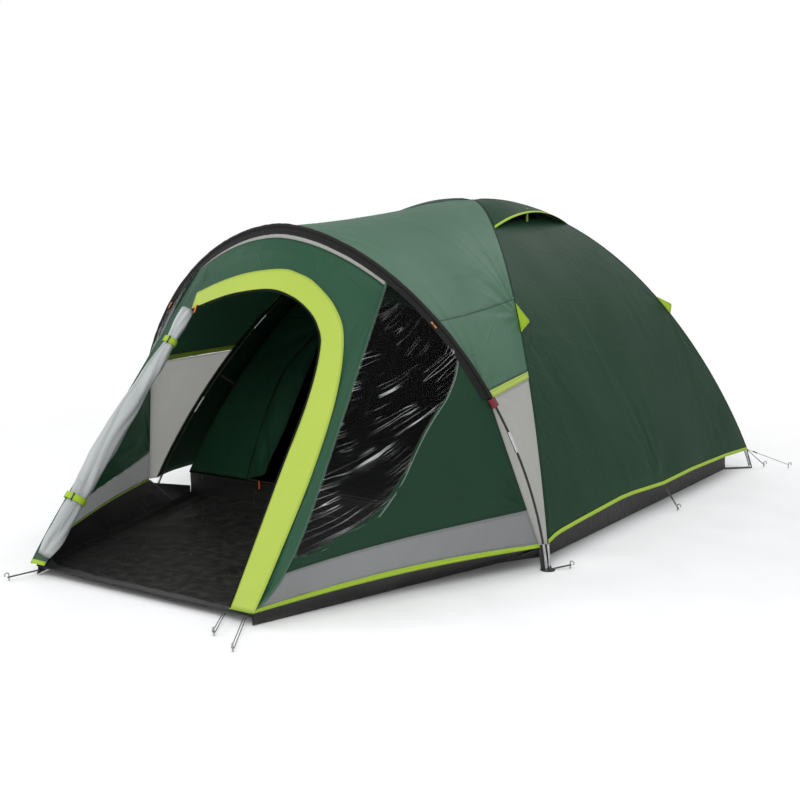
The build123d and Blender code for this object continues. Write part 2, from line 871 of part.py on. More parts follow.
pull_lift = slider_lift + slider_size[2] + 0.4
pull_plane = tangent_plane(slider_x, slider_z, (slider_x + 90, slider_z + 31), pull_lift)
with BuildPart() as door_zip_pull:
    with BuildSketch(pull_plane):
        with Locations((0, -pull_length / 2 + pull_end)):
            SlotOverall(pull_length, 7, rotation=90)
        Circle(1.2, mode=Mode.SUBTRACT)
    extrude(amount=pull_thick)
door_zip_pull.part.label = "door_zip_pull"
export_step(door_zip_pull.part, "parts/door_zip_pull.step")
pull_hinge = pull_plane.from_local_coords((0, pull_end, pull_thick / 2))
print("slider along", slider_plane.x_dir, "pull hinge", pull_hinge)


# ---- inner tent: four curved walls on a shallow tub ----
def inner_profile(half):
    def place(share, inset):
        rise = 1e-3
        here = Vector(half * share, inner_height * main_rise(share), 0)
        there = Vector(half * (share + rise), inner_height * main_rise(share + rise), 0)
        way = (there - here).normalized()
        return here.X + way.Y * inset, here.Y - way.X * inset

    return place


inner_low = main_share(tub_height, inner_height)
inner_foot = main_share(tub_height + 0.5, inner_height)
inner_front_slope = inner_front / inner_half
inner_rear_slope = inner_rear / inner_half
inner_gap = 0.6

inner_door_side = [(-600, 132), (-545, 560), (-330, 850)]
inner_door_far = [(-330, 850), (-20, 925), (300, 800), (430, 480), (440, 132)]
flap_edge = [(-432, 470), (-505, 132)]
flap_seam = 1.4
flap_places = [0, 0.15, 0.3, 0.45, 0.6, 0.75, 0.93]  # along the side seam, up to the flap's point


def inner_door_face():
    with BuildSketch(Plane.XZ) as face:
        with BuildLine():
            Spline(*inner_door_side)
            Spline(*inner_door_far)
            Line(inner_door_far[-1], inner_door_side[0])
        make_face()
    return face.sketch


def flap_face():
    """The gathered flap beside the inner door's opening, from its foot up to a point."""
    side = Spline(*inner_door_side, mode=Mode.PRIVATE)
    hem_points = [tuple(side @ k + Vector(flap_seam, 0, 0))[:2] for k in flap_places]
    with BuildSketch(Plane.XZ) as face:
        with BuildLine():
            Spline(*hem_points)
            Spline(hem_points[-1], *flap_edge)
            Line(flap_edge[-1], hem_points[0])
        make_face()
    return face.sketch


def inner_band(plane, half, thickness=wall, outset=0.0):
    profile = inner_profile(half)
    return band_face(plane, lambda s, t: profile(s, thickness - t - outset), 0, inner_foot, thickness)


with BuildPart() as inner_front_wall:
    extrude(inner_band(front_wall_plane, inner_front), amount=press, both=True)
    extrude(end_wedge(inner_front_slope, True, inner_gap), amount=3000, mode=Mode.INTERSECT)
    extrude(inner_door_face(), amount=press, both=True, mode=Mode.SUBTRACT)
inner_front_wall.part.label = "inner_front_wall"
export_step(inner_front_wall.part, "parts/inner_front_wall.step")

with BuildPart() as inner_door_flap:
    extrude(inner_band(front_wall_plane, inner_front), amount=press, both=True)
    extrude(flap_face(), amount=press, both=True, mode=Mode.INTERSECT)
inner_door_flap.part.label = "inner_door_flap"
export_step(inner_door_flap.part, "parts/inner_door_flap.step")

with BuildPart() as inner_rear_wall:
    extrude(inner_band(rear_plane, inner_rear), amount=press, both=True)
    extrude(end_wedge(inner_rear_slope, False, inner_gap), amount=3000, mode=Mode.INTERSECT)
inner_rear_wall.part.label = "inner_rear_wall"
export_step(inner_rear_wall.part, "parts/inner_rear_wall.step")

with BuildPart() as inner_wall_right:
    extrude(inner_band(side_plane, inner_half), amount=press, both=True)
    extrude(wedge_face(inner_front_slope, inner_rear_slope, inner_gap), amount=3000, mode=Mode.INTERSECT)

tub_half = inner_half * inner_low + tub_wall / 2
tub_front = crown_y - inner_front * inner_low - tub_wall / 2
tub_rear = crown_y + inner_rear * inner_low + tub_wall / 2
tub_corner = 12


def tub_face(grow=0.0):
    with BuildSketch(Plane.XY) as face:
        with Locations((0, (tub_front + tub_rear) / 2)):
            Rectangle(2 * (tub_half + grow), tub_rear - tub_front + 2 * grow)
        fillet(face.vertices(), tub_corner + grow)
    return face.sketch


with BuildPart() as inner_tub:
    extrude(tub_face(), amount=tub_height)
    extrude(tub_face(-tub_wall).moved(Pos(0, 0, tub_wall)), amount=tub_height, mode=Mode.SUBTRACT)
inner_tub.part.label = "inner_tub"
export_step(inner_tub.part, "parts/inner_tub.step")

porch_back = tub_front - 0.5


def porch_floor_face(inset=0.0, reach=0.0):
    front, back = porch_tub_half - inset, porch_tub_back - inset
    low, high = porch_tub_front + inset, porch_back + reach
    with BuildSketch(Plane.XY) as face:
        with BuildLine():
            Polyline((front, low), (back, high), (-back, high), (-front, low), close=True)
        make_face()
    return face.sketch


with BuildPart() as porch_groundsheet:
    extrude(porch_floor_face(), amount=porch_lip)
    extrude(porch_floor_face(tub_wall, 100).moved(Pos(0, 0, tub_wall)), amount=porch_lip, mode=Mode.SUBTRACT)
porch_groundsheet.part.label = "porch_groundsheet"
export_step(porch_groundsheet.part, "parts/porch_groundsheet.step")


# ---- inner door zip ----
inner_zip_z = inner_door_far[-1][1] - 12


def inner_front_y(height, outset=0.0):
    share = main_share(height, inner_height)
    return crown_y - inner_front * share - outset


with BuildPart() as inner_zip:
    extrude(inner_band(front_wall_plane, inner_front, 2.0, 2.4), amount=press, both=True)
    with BuildSketch(Plane.XZ):
        with Locations((-80, inner_zip_z)):
            Rectangle(1040, 6)
    extrude(amount=press, both=True, mode=Mode.INTERSECT)
inner_zip.part.label = "inner_zip"
export_step(inner_zip.part, "parts/inner_zip.step")

inner_slider_x = -520
inner_slider_y = inner_front_y(inner_zip_z) - 3.9
with BuildPart() as inner_zip_slider:
    with BuildSketch(Plane.XZ.offset(-inner_slider_y)):
        with Locations((inner_slider_x, inner_zip_z)):
            RectangleRounded(14, 9, 2)
    extrude(amount=5)
inner_zip_slider.part.label = "inner_zip_slider"
export_step(inner_zip_slider.part, "parts/inner_zip_slider.step")

inner_pull_y = inner_slider_y - 5 - 0.9
with BuildPart() as inner_zip_pull:
    with BuildSketch(Plane.XZ.offset(-inner_pull_y)):
        with Locations((inner_slider_x, inner_zip_z - pull_length / 2 + pull_end)):
            SlotOverall(pull_length, 7, rotation=90)
        with Locations((inner_slider_x, inner_zip_z)):
            Circle(1.2, mode=Mode.SUBTRACT)
    extrude(amount=pull_thick)
inner_zip_pull.part.label = "inner_zip_pull"
export_step(inner_zip_pull.part, "parts/inner_zip_pull.step")
print("inner pull hinge", inner_slider_x, round(inner_pull_y - pull_thick / 2, 2), inner_zip_z + pull_end)


# ---- clips that hang the inner tent from the main poles ----
clip_d = 13.2
clip_length = 14
clip_places = (0.15, 0.28, 0.39)
strap_thick = 1.2


def tape(start, end, width, thickness, face_way):
    """A flat strap between two points, with its flat face looking along face_way."""
    plane = Plane(origin=start, x_dir=face_way.cross(end - start), z_dir=end - start)
    with BuildSketch(plane) as section:
        Rectangle(width, thickness)
    return section.sketch, (end - start).length


def hang_points(route, place):
    """The pole's point at a place along it, the way of the pole and the inner crease beside it."""
    on_pole = route @ place
    share = abs(on_pole.X) / half_width
    rear = on_pole.Y > crown_y
    reach = inner_rear if rear else -inner_front
    side = 1 if on_pole.X > 0 else -1
    crease = Vector(side * inner_half * share, crown_y + reach * share, inner_height * main_rise(share))
    return on_pole, route % place, crease


hangs = []
for route in (route_a, route_b):
    for place in clip_places:
        hangs.append(hang_points(route, place))
        hangs.append(hang_points(route, 1 - place))

with BuildPart() as inner_clips:
    for on_pole, way, crease in hangs:
        half = way * clip_length / 2
        face, length = rod(on_pole - half, on_pole + half, clip_d, pole_d + 2 * slip)
        extrude(face, amount=length)
inner_clips.part.label = "inner_clips"
export_step(inner_clips.part, "parts/inner_clips.step")

with BuildPart() as inner_straps:
    for on_pole, way, crease in hangs:
        drop = crease - on_pole
        drop = drop - way * drop.dot(way)
        direct = drop.normalized()
        start = on_pole + direct * (clip_d / 2 + 0.3)
        end = on_pole + drop - direct * 2.0
        face, length = tape(start, end, 12, strap_thick, direct.cross(way))
        extrude(face, amount=length)
inner_straps.part.label = "inner_straps"
export_step(inner_straps.part, "parts/inner_straps.step")


# ---- corners: webbing plates with eyelets for the pins, and straps up to the fly ----
eyelet_d = 14
main_foot = route_a @ 1
arch_foot = route_arch @ 1
if main_foot.Y > crown_y:
    main_foot = route_a @ 0
if arch_foot.X < 0:
    arch_foot = route_arch @ 0
front_feet = [(abs(main_foot.X), main_foot.Y), (abs(arch_foot.X), arch_foot.Y)]
rear_feet = [(abs(main_foot.X), 2 * crown_y - main_foot.Y)]


def corner_face(feet, tub_y):
    """Plan of a corner plate: a strap from the tub's corner that widens round the eyelets."""
    tub_point = Vector(tub_half - 20, tub_y + (20 if tub_y < crown_y else -20))
    far = Vector(sum(x for x, y in feet) / len(feet), sum(y for x, y in feet) / len(feet))
    way = (far - tub_point).normalized()
    across = Vector(-way.Y, way.X) * webbing_width / 2
    with BuildSketch(Plane.XY) as face:
        with BuildLine():
            Polyline(tub_point + across, far + across, far - across, tub_point - across, close=True)
        make_face()
        with Locations(far):
            Circle(eyelet_d / 2 + 8 + 14 * (len(feet) - 1))
        add(tub_face(0.4), mode=Mode.SUBTRACT)
        add(porch_floor_face(-0.4), mode=Mode.SUBTRACT)
        with Locations(*feet):
            Circle(eyelet_d / 2 + 0.15, mode=Mode.SUBTRACT)
    return face.sketch


corners = [(front_feet, tub_front), (rear_feet, tub_rear)]
with BuildPart() as corner_webbing:
    for feet, tub_y in corners:
        extrude(corner_face(feet, tub_y), amount=webbing)
    mirror(corner_webbing.part, about=Plane.YZ)
corner_webbing.part.label = "corner_webbing"
export_step(corner_webbing.part, "parts/corner_webbing.step")

with BuildPart() as corner_eyelets:
    with BuildSketch(Plane.XY):
        for side in (1, -1):
            for feet, tub_y in corners:
                with Locations(*[(side * x, y) for x, y in feet]):
                    Circle(eyelet_d / 2)
                    Circle(pin_d / 2 + 0.35, mode=Mode.SUBTRACT)
    extrude(amount=webbing + 0.8)
corner_eyelets.part.label = "corner_eyelets"
export_step(corner_eyelets.part, "parts/corner_eyelets.step")

with BuildPart() as corner_straps:
    rear_edge_low = main_edge(hem_share, 1, 1, pole_r + fly_drop + cloth / 2)
    ends = [
        (fly_corner + Vector(4, -4, -0.6), Vector(fly_corner.X + 2, arch_foot.Y + 2, webbing + 1.7)),
        (rear_edge_low + Vector(0, 0, -0.6), Vector(main_foot.X + 9, rear_feet[0][1] + 9, webbing + 1.7)),
    ]
    for start, end in ends:
        face, length = tape(start, end, 12, 1.4, Vector(1, -1, 0) if start.Y < 500 else Vector(1, 1, 0))
        extrude(face, amount=length)
    mirror(corner_straps.part, about=Plane.YZ)
corner_straps.part.label = "corner_straps"
export_step(corner_straps.part, "parts/corner_straps.step")


# ---- pegs, their elastic loops and the straps along the edge ----
hook_rise = 30
hook_reach = 15
pegs_at = [
    (488, -1329, 0.35, -0.9), (641, -1413, 0.5, -0.85), (-560, -1292, -0.5, -0.85),
    (1112, 56, 1, 0.1), (-1112, 56, -1, 0.1), (1096, 1190, 1, 0), (-1096, 1190, -1, 0),
    (1108, 2352, 0.7, 0.7), (-1108, 2352, -0.7, 0.7), (0, 2452, 0, 1),
    (1224, 2400, 0.8, 0.6), (-1224, 2400, -0.8, 0.6),
]


def peg_route(x, y, way_x, way_y):
    way = Vector(way_x, way_y).normalized()
    foot_point = Vector(x, y, 0)
    far = foot_point + way * hook_reach
    up = Vector(0, 0, hook_rise)
    with BuildLine() as line:
        FilletPolyline(foot_point, foot_point + up, far + up, far + up * 0.55, radius=6)
    return line.wire()


with BuildPart() as pegs:
    for peg in pegs_at:
        run = peg_route(*peg)
        with BuildSketch(Plane(origin=run @ 0)):
            Circle(peg_wire / 2)
        sweep(path=run)
pegs.part.label = "pegs"
export_step(pegs.part, "parts/pegs.step")

loop_z = 14
loop_gap = 0.8
loop_start = porch_tub_front - 2.9
front_loops = [
    ((408, loop_start, 24), pegs_at[0]),
    ((500, loop_start, 24), pegs_at[1]),
    ((-512, loop_start, 24), pegs_at[2]),
]


def loop_route(start, peg, wide=8.0):
    """A cord that leaves its start, goes round behind a peg and comes back beside itself."""
    post = Vector(peg[0], peg[1], loop_z)
    way = (post - start).normalized()
    square = Vector(-way.Y, way.X, 0).normalized()
    reach = (peg_wire + loop_cord) / 2 + loop_gap
    near, side = square * wide / 2, square * reach
    far = post + way * reach * 1.05 / sqrt(1 - way.Z**2)
    with BuildLine() as line:
        FilletPolyline(start + near, far + side, far - side, start - near, radius=reach * 0.93)
    return line.wire()


edge_mid_right = main_edge(hem_share, 1, 1, pole_r + fly_drop + cloth / 2)
side_hem = Vector(edge_mid_right.X, crown_y + 40, edge_mid_right.Z)
rear_hem = Vector(0, edge_mid_right.Y, edge_mid_right.Z)
side_straps = [(side_hem, pegs_at[5]), (edge_mid_right + Vector(1.2, 1.2, 0), pegs_at[7])]
rear_strap = (rear_hem, pegs_at[9])
strap_run = 0.62  # of the way to the peg; the loop takes over there


def strap_ends(hem_point, peg):
    post = Vector(peg[0], peg[1], loop_z)
    start = hem_point + Vector(0, 0, -0.7)
    return start, start + (post - start) * strap_run


def strap_tape(hem_point, peg):
    start, end = strap_ends(hem_point, peg)
    level = (end - start).cross(Vector(0, 0, 1))
    return tape(start, end, 16, 1.4, level.cross(end - start))


def strap_loop(hem_point, peg):
    start, end = strap_ends(hem_point, peg)
    return loop_route(end + (end - start).normalized() * loop_gap, peg)


with BuildPart() as hem_straps:
    for run in side_straps:
        face, length = strap_tape(*run)
        extrude(face, amount=length)
    mirror(hem_straps.part, about=Plane.YZ)
    face, length = strap_tape(*rear_strap)
    extrude(face, amount=length)
hem_straps.part.label = "hem_straps"
export_step(hem_straps.part, "parts/hem_straps.step")

corner_start = Vector(front_feet[0][0] + 18, front_feet[0][1] + 6, webbing + loop_cord / 2 + 0.3)
side_routes = [strap_loop(*run) for run in side_straps] + [loop_route(corner_start, pegs_at[3])]
other_routes = [loop_route(Vector(*start), peg) for start, peg in front_loops] + [strap_loop(*rear_strap)]
with BuildPart() as peg_loops:
    for run in side_routes:
        sweep(ring_on(run, loop_cord), path=run)
    mirror(peg_loops.part, about=Plane.YZ)
    for run in other_routes:
        sweep(ring_on(run, loop_cord), path=run)
peg_loops.part.label = "peg_loops"
export_step(peg_loops.part, "parts/peg_loops.step")


# ---- bright triangles on the creases, guy cords and the rear lines with their tensioners ----
tab_thick = 1.6
tab_droop = 12
tab_spans = [(0.5775, 0.6505, -1, 74), (0.60, 0.665, 1, 48)]  # on the crease, front or rear, reach
tab_seat = pole_r + fly_drop + cloth


def tab_corners(low, high, end, reach):
    """Base points and tip of a bright triangle that stands on a crease."""
    a, b = main_edge(low, 1, end, tab_seat), main_edge(high, 1, end, tab_seat)
    middle = main_edge((low + high) / 2, 1, end, tab_seat)
    out = Vector(1, 0.3 * end, 0.6).normalized()
    bulge = (middle - (a + b) / 2).length + 0.2
    tip = (a + b) / 2 + Vector(1, 0.3 * end, 0).normalized() * reach - Vector(0, 0, tab_droop)
    return a + out * bulge, b + out * bulge, tip


with BuildPart() as guy_tabs:
    for span in tab_spans:
        a, b, tip = tab_corners(*span)
        plane = Plane(origin=a, x_dir=b - a, z_dir=(b - a).cross(tip - a))
        flat = [plane.to_local_coords(p) for p in (a, b, tip)]
        with BuildSketch(plane):
            with BuildLine():
                Polyline(*[(p.X, p.Y) for p in flat], close=True)
            make_face()
        extrude(amount=tab_thick / 2, both=True)
    mirror(guy_tabs.part, about=Plane.YZ)
guy_tabs.part.label = "guy_tabs"
export_step(guy_tabs.part, "parts/guy_tabs.step")
print("tab tips", [tab_corners(*span)[2] for span in tab_spans])

guy_d = 2.5
front_guy = [(721, 415.5, 914), (726, 415, 889), (729.5, 411, 865), (730, 408, 841), (727, 407, 817)]
rear_guy = [(1036.9, 2285.4, 99.2), (1221, 2398.3, 20)]


def cord_radii(points):
    """Arc radii of a free cord: 0.45 of the shorter run, by half the turn."""
    radii = []
    for a, b, c in zip(points, points[1:], points[2:]):
        before, after = Vector(*b) - Vector(*a), Vector(*c) - Vector(*b)
        radii.append(0.45 * min(before.length, after.length) / tan(radians(before.get_angle(after)) / 2))
    return radii


def cord_wire(points):
    radii = cord_radii(points)
    with BuildLine() as line:
        if radii:
            FilletPolyline(*points, radius=radii)
        else:
            Line(*points)
    return line.wire()


cords = {"guy_cord_front": front_guy, "guy_line_rear": rear_guy}
for name, points in cords.items():
    for side, hand in ((1, "right"), (-1, "left")):
        wire = cord_wire([(side * x, y, z) for x, y, z in points])
        with BuildPart() as cord:
            sweep(ring_on(wire, guy_d), path=wire)
        cord.part.label = f"{name}_{hand}"
        export_step(cord.part, f"parts/{name}_{hand}.step")
    share = cord.part.volume / (3.141593 * guy_d**2 / 4 * wire.length)
    print(name, "length", round(wire.length, 1), "radii", [round(r) for r in cord_radii(points)],
          "volume over section times length", round(share, 4))

tensioner_at = 44  # along the rear line from its upper end
tensioner_size = (9, 5.5, 24)
rear_start, rear_end = (Vector(*p) for p in rear_guy)
rear_way = (rear_end - rear_start).normalized()
with BuildPart() as line_tensioner_right:
    middle = rear_start + rear_way * tensioner_at
    with BuildSketch(Plane(origin=middle, x_dir=(0.5, -0.8, 0.3), z_dir=rear_way)):
        RectangleRounded(tensioner_size[0], tensioner_size[1], 1.5)
        Circle(guy_d / 2 + 0.4, mode=Mode.SUBTRACT)
    extrude(amount=tensioner_size[2] / 2, both=True)
print("tensioner at", middle, "along", rear_way)


# ---- right-hand pieces, and their mirror images on the left ----
paired = {
    "fly_porch": fly_porch_right,
    "grey_panel": grey_panel_right,
    "fly_dome": fly_dome_right,
    "vent_hood": vent_hood_right,
    "vent_prop": vent_prop_right,
    "inner_wall": inner_wall_right,
    "line_tensioner": line_tensioner_right,
}
for name, right in paired.items():
    right.part.label = f"{name}_right"
    export_step(right.part, f"parts/{name}_right.step")
    with BuildPart() as left:
        mirror(right.part, about=Plane.YZ)
    left.part.label = f"{name}_left"
    export_step(left.part, f"parts/{name}_left.step")

grouped = {
    "windows": window_right,
    "mud_strips": mud_strip_right,
    "shoulder_strips": shoulder_strip_right,
    "vent_meshes": vent_mesh_right,
}
for name, right in grouped.items():
    with BuildPart() as both:
        add(right.part)
        mirror(right.part, about=Plane.YZ)
    both.part.label = name
    export_step(both.part, f"parts/{name}.step")
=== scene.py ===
import bpy
import numpy as np
from mathutils import Matrix, Vector


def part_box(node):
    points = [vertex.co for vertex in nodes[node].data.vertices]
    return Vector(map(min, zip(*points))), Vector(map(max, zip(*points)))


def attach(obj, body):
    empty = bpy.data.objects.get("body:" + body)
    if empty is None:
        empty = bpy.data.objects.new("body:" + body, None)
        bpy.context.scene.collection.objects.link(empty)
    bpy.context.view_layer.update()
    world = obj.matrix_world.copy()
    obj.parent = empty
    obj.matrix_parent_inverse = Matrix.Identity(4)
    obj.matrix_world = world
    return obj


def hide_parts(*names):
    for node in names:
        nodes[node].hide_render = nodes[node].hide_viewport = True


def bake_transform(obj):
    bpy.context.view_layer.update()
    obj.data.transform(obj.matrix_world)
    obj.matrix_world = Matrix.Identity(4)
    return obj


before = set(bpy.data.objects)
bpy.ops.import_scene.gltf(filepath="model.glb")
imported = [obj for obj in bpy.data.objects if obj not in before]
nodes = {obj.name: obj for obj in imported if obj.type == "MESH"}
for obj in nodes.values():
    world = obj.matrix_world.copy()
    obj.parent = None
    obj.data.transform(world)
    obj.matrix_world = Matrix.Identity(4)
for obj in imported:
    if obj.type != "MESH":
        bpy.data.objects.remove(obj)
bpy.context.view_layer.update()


view = {"place": (3.3915, -4.6142, 1.5091), "yaw": 33.42, "down": 9.31, "roll": 0.32, "lens": 61.28}


def addCamera():
    data = bpy.data.cameras.new("camera")
    data.lens = view["lens"]
    data.sensor_width = 36
    camera = bpy.data.objects.new("camera", data)
    turn = (
        Matrix.Rotation(np.radians(view["yaw"]), 4, "Z")
        @ Matrix.Rotation(np.radians(90 - view["down"]), 4, "X")
        @ Matrix.Rotation(np.radians(view["roll"]), 4, "Z")
    )
    camera.matrix_world = Matrix.Translation(view["place"]) @ turn
    bpy.context.scene.collection.objects.link(camera)
    bpy.context.scene.camera = camera


addCamera()
print("camera done")

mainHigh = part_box("main_pole_upper")[1]
tubLow, tubHigh = (np.array(corner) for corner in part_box("inner_tub"))
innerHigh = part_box("inner_front_wall")[1]
poleRadius = 0.00475
crownZ = mainHigh[2] - poleRadius
halfWidth = 1.05
crownY = 1.15
rearSlope = crownY / halfWidth
archHeight = 1.35
poleCurve = 0.862  # fullness of the main poles' curve: 0.5 is an ellipse, 1 a parabola
archCurve = 1.78  # fullness of the arch: 2 is an ellipse
sideTop = 1.169  # height up the arch at which the porch sides begin
archFootY = -0.024
lean = np.radians(13)
porchDepth = 1.2
porchHalf = 0.54
porchHem = 0.05
hemHeight = 0.095
innerHalf = 0.985
innerFront = 1.03
innerRear = 1.08
innerCrownZ = innerHigh[2]
tubTop = tubHigh[2]
sleeveTab = 0.838  # the arch sleeve ends at this share of halfWidth
doorTop = 0.46  # half the front panel's top edge, as a share of halfWidth
flySeat = poleRadius + 0.0056  # from a main pole's centre line to the fly's outer face
tentMiddle = (0, 0.6, 0.2)  # each panel faces away from one of these points
porchMiddle, sideMiddle, floorMiddle = (0, 0, 0.2), (0, -0.3, 0.2), (0, -0.5, 0.0)
bedMiddle, farBelow = (0, 1.15, 0.2), (0, 0, -5)
forwardWay = np.array([0, -np.cos(lean), -np.sin(lean)])


def mainRise(share):
    return np.maximum(1 - np.minimum(np.abs(share), 1) ** 2, 0) ** poleCurve


def mainShare(height, top):
    return np.sqrt(np.maximum(1 - (np.minimum(height / top, 1)) ** (1 / poleCurve), 0))


def archRise(share):
    return np.sqrt(np.maximum(1 - np.minimum(np.abs(share), 1) ** archCurve, 0))


def archShare(height):
    return (1 - (height / archHeight) ** 2) ** (1 / archCurve)


def stack(x, y, z):
    return np.stack(np.broadcast_arrays(x, y, z), -1)


def unit(ways):
    return ways / np.linalg.norm(ways, axis=-1, keepdims=True)


def spread(count, low=0.0, high=1.0):
    return np.linspace(low, high, count)


def archFlat(share, inset):  # x and height in the arch's leaning plane, moved square to the curve
    step = 1e-4
    low, high = np.clip(share - step, -1, 1), np.clip(share + step, -1, 1)
    wayX = halfWidth * (high - low)
    wayY = archHeight * (archRise(high) - archRise(low))
    length = np.hypot(wayX, wayY)
    x = halfWidth * share + wayY / length * inset
    y = archHeight * archRise(share) - wayX / length * inset
    return x, y


def archPoint(share, inset=0.0):
    x, y = archFlat(np.asarray(share, float), inset)
    return stack(x, archFootY - y * np.sin(lean), y * np.cos(lean))


# edge of the cloth at the arch: along the sleeve, then straight from its end to the hem
def archEdge(share, inset=0.0095):
    share = np.asarray(share, float)
    side = np.where(share < 0, -1.0, 1.0)
    size = np.abs(share)
    curved = archPoint(np.minimum(size, sleeveTab), inset)
    corner = np.array([halfWidth - 0.02, archFootY - hemHeight * np.sin(lean), hemHeight])
    down = np.clip((size - sleeveTab) / (1 - sleeveTab), 0, 1)[..., None]
    place = curved * (1 - down) + corner * down
    place[..., 0] = place[..., 0] * side
    return place


# the fly's crease above a main pole, from the crown down to a foot
def crease(share, side=1, end=-1, above=flySeat):
    share = np.asarray(share, float)
    step = 1e-3
    fall = crownZ * (mainRise(share + step) - mainRise(share - step))
    length = np.hypot(2 * halfWidth * step, fall)
    outX = halfWidth * share - fall / length * above
    outZ = crownZ * mainRise(share) + 2 * halfWidth * step / length * above
    return stack(side * outX, crownY + end * outX * rearSlope, outZ)


def through(points, count):  # points along a smooth curve through the given ones
    points = np.array(points, float)
    ends = np.vstack([2 * points[0] - points[1], points, 2 * points[-1] - points[-2]])
    marks = np.concatenate([[0], np.cumsum(np.linalg.norm(np.diff(points, axis=0), axis=1) ** 0.5)])
    result = []
    for t in np.linspace(0, marks[-1], count):
        k = min(np.searchsorted(marks, t, side="right") - 1, len(points) - 2)
        f = (t - marks[k]) / (marks[k + 1] - marks[k])
        a, b, c, d = ends[k:k + 4]
        result.append(
            0.5 * (2 * b + (c - a) * f + (2 * a - 5 * b + 4 * c - d) * f**2 + (3 * b - a - 3 * c + d) * f**3)
        )
    return np.array(result)


def blendRows(start, end, count):  # a grid whose rows run from one line of points to another
    share = spread(count)[:, None, None]
    return start[None] * (1 - share) + end[None] * share


def seamBow(down, right):
    bow = 0.11 * down * (1 - down**10)
    return np.where(right, bow, 0.15 * bow)


def frontPoint(across, down):
    across, down = np.broadcast_arrays(np.asarray(across, float), np.asarray(down, float))
    size = np.abs(across)
    right = across >= 0
    topX, topY = archFlat(doorTop * size * np.where(right, 1.0, 0.93), 0.0095)
    x = topX * (1 - down) + porchHalf * size * down + seamBow(down, right) * size
    rise = topY * (1 - down)
    y = archFootY * (1 - down) - porchDepth * down - rise * np.sin(lean)
    z = porchHem * down + rise * np.cos(lean)
    return stack(np.where(right, x, -x), y, z)


def frontShares(x, z):
    across, down = np.zeros_like(x), np.full_like(x, 0.5)
    for _ in range(80):
        here = frontPoint(across, down)
        across = across + (x - here[..., 0]) / 0.75
        down = down + (here[..., 2] - z) / 1.35
    return across, down


def frontAt(x, z, lift=0.0):
    across, down = frontShares(np.asarray(x, float), np.asarray(z, float))
    here = frontPoint(across, down)
    if np.any(lift):
        step = 1e-3
        sideways = frontPoint(across + step, down) - frontPoint(across - step, down)
        upward = frontPoint(across, down - step) - frontPoint(across, down + step)
        here = here + unit(np.cross(sideways, upward)) * np.asarray(lift)[..., None]
    return here


def valueNoise(x, y, seed):
    cellX, cellY = np.floor(x), np.floor(y)

    def corner(i, j):
        mixed = np.sin((cellX + i) * 127.1 + (cellY + j) * 311.7 + seed * 74.7) * 43758.5453
        return np.modf(np.abs(mixed))[0]

    fx, fy = x - cellX, y - cellY
    fx, fy = fx * fx * (3 - 2 * fx), fy * fy * (3 - 2 * fy)
    low = corner(0, 0) * (1 - fx) + corner(1, 0) * fx
    high = corner(0, 1) * (1 - fx) + corner(1, 1) * fx
    return (low * (1 - fy) + high * fy) * 2 - 1


def cloudy(x, y, seed, octaves=3):
    return sum(valueNoise(x * 2**k, y * 2**k, seed + 11 * k) / 2**k for k in range(octaves))


# soft ridges square to an angle, this wide, that wander and fade
def foldField(u, v, angle, width, seed, warp=0.5):
    c, s = np.cos(np.radians(angle)), np.sin(np.radians(angle))
    along, across = u * c + v * s, -u * s + v * c
    across = across + warp * width * cloudy(along / width / 5, across / width / 2, seed)
    ridge = 1 - np.abs(valueNoise(across / width, along / width / 9, seed + 3)) * 2
    return ridge * (0.5 + 0.5 * cloudy(along / width / 6, across / width / 6, seed + 5, 2))


def rays(grid, apex, count, reach, seed):  # creases that fan out from a point where the cloth is pulled
    offset = grid - np.array(apex)
    far = np.linalg.norm(offset, axis=-1)
    axisA = grid[0, -1] - grid[0, 0] + 1e-6
    axisB = grid[-1, 0] - grid[0, 0] + 1e-6
    angle = np.arctan2(offset @ (axisA / np.linalg.norm(axisA)), offset @ (axisB / np.linalg.norm(axisB)))
    wave = 1 - np.abs(valueNoise(angle * count, far * 1.5, seed)) * 2
    return wave * np.exp(-far / reach) * np.minimum(far / 0.06, 1)


def pulls(grid, points, count, reach, strength=1.0):  # fans from several points, each with its size and seed
    return sum(strength * size * rays(grid, point, count, reach, seed) for point, size, seed in points)


def gridNormals(grid):
    du, dv = np.gradient(grid, axis=1), np.gradient(grid, axis=0)
    normal = np.cross(du, dv)
    return normal / np.maximum(np.linalg.norm(normal, axis=-1, keepdims=True), 1e-9)


def flatLengths(grid):  # lengths along the rows and columns, as flat cloth coordinates in metres
    across, down = (np.cumsum(np.linalg.norm(np.diff(grid, axis=axis), axis=-1), axis) for axis in (1, 0))
    u, v = np.pad(across, ((0, 0), (1, 0))), np.pad(down, ((1, 0), (0, 0)))
    return u - u.mean(1, keepdims=True), v


def edgeFade(grid, width=0.05, sides="tblr"):
    u, v = flatLengths(grid)
    u = u - u[:, :1]
    gaps = {"t": v, "b": v[-1:] - v, "l": u, "r": u[:, -1:] - u}
    near = np.clip(np.min([gaps[side] for side in sides], axis=0) / width, 0, 1)
    return near * near * (3 - 2 * near)


def outward(grid, centre=tentMiddle):
    normal = gridNormals(grid)
    middle = tuple(n // 2 for n in grid.shape[:2])
    facing = np.sign(np.dot(normal[middle], grid[middle] - np.array(centre))) or 1.0
    return normal * facing


def crumpled(grid, height, sides="tblr", width=0.05, centre=tentMiddle):
    return grid + outward(grid, centre) * (height * edgeFade(grid, width, sides))[..., None]


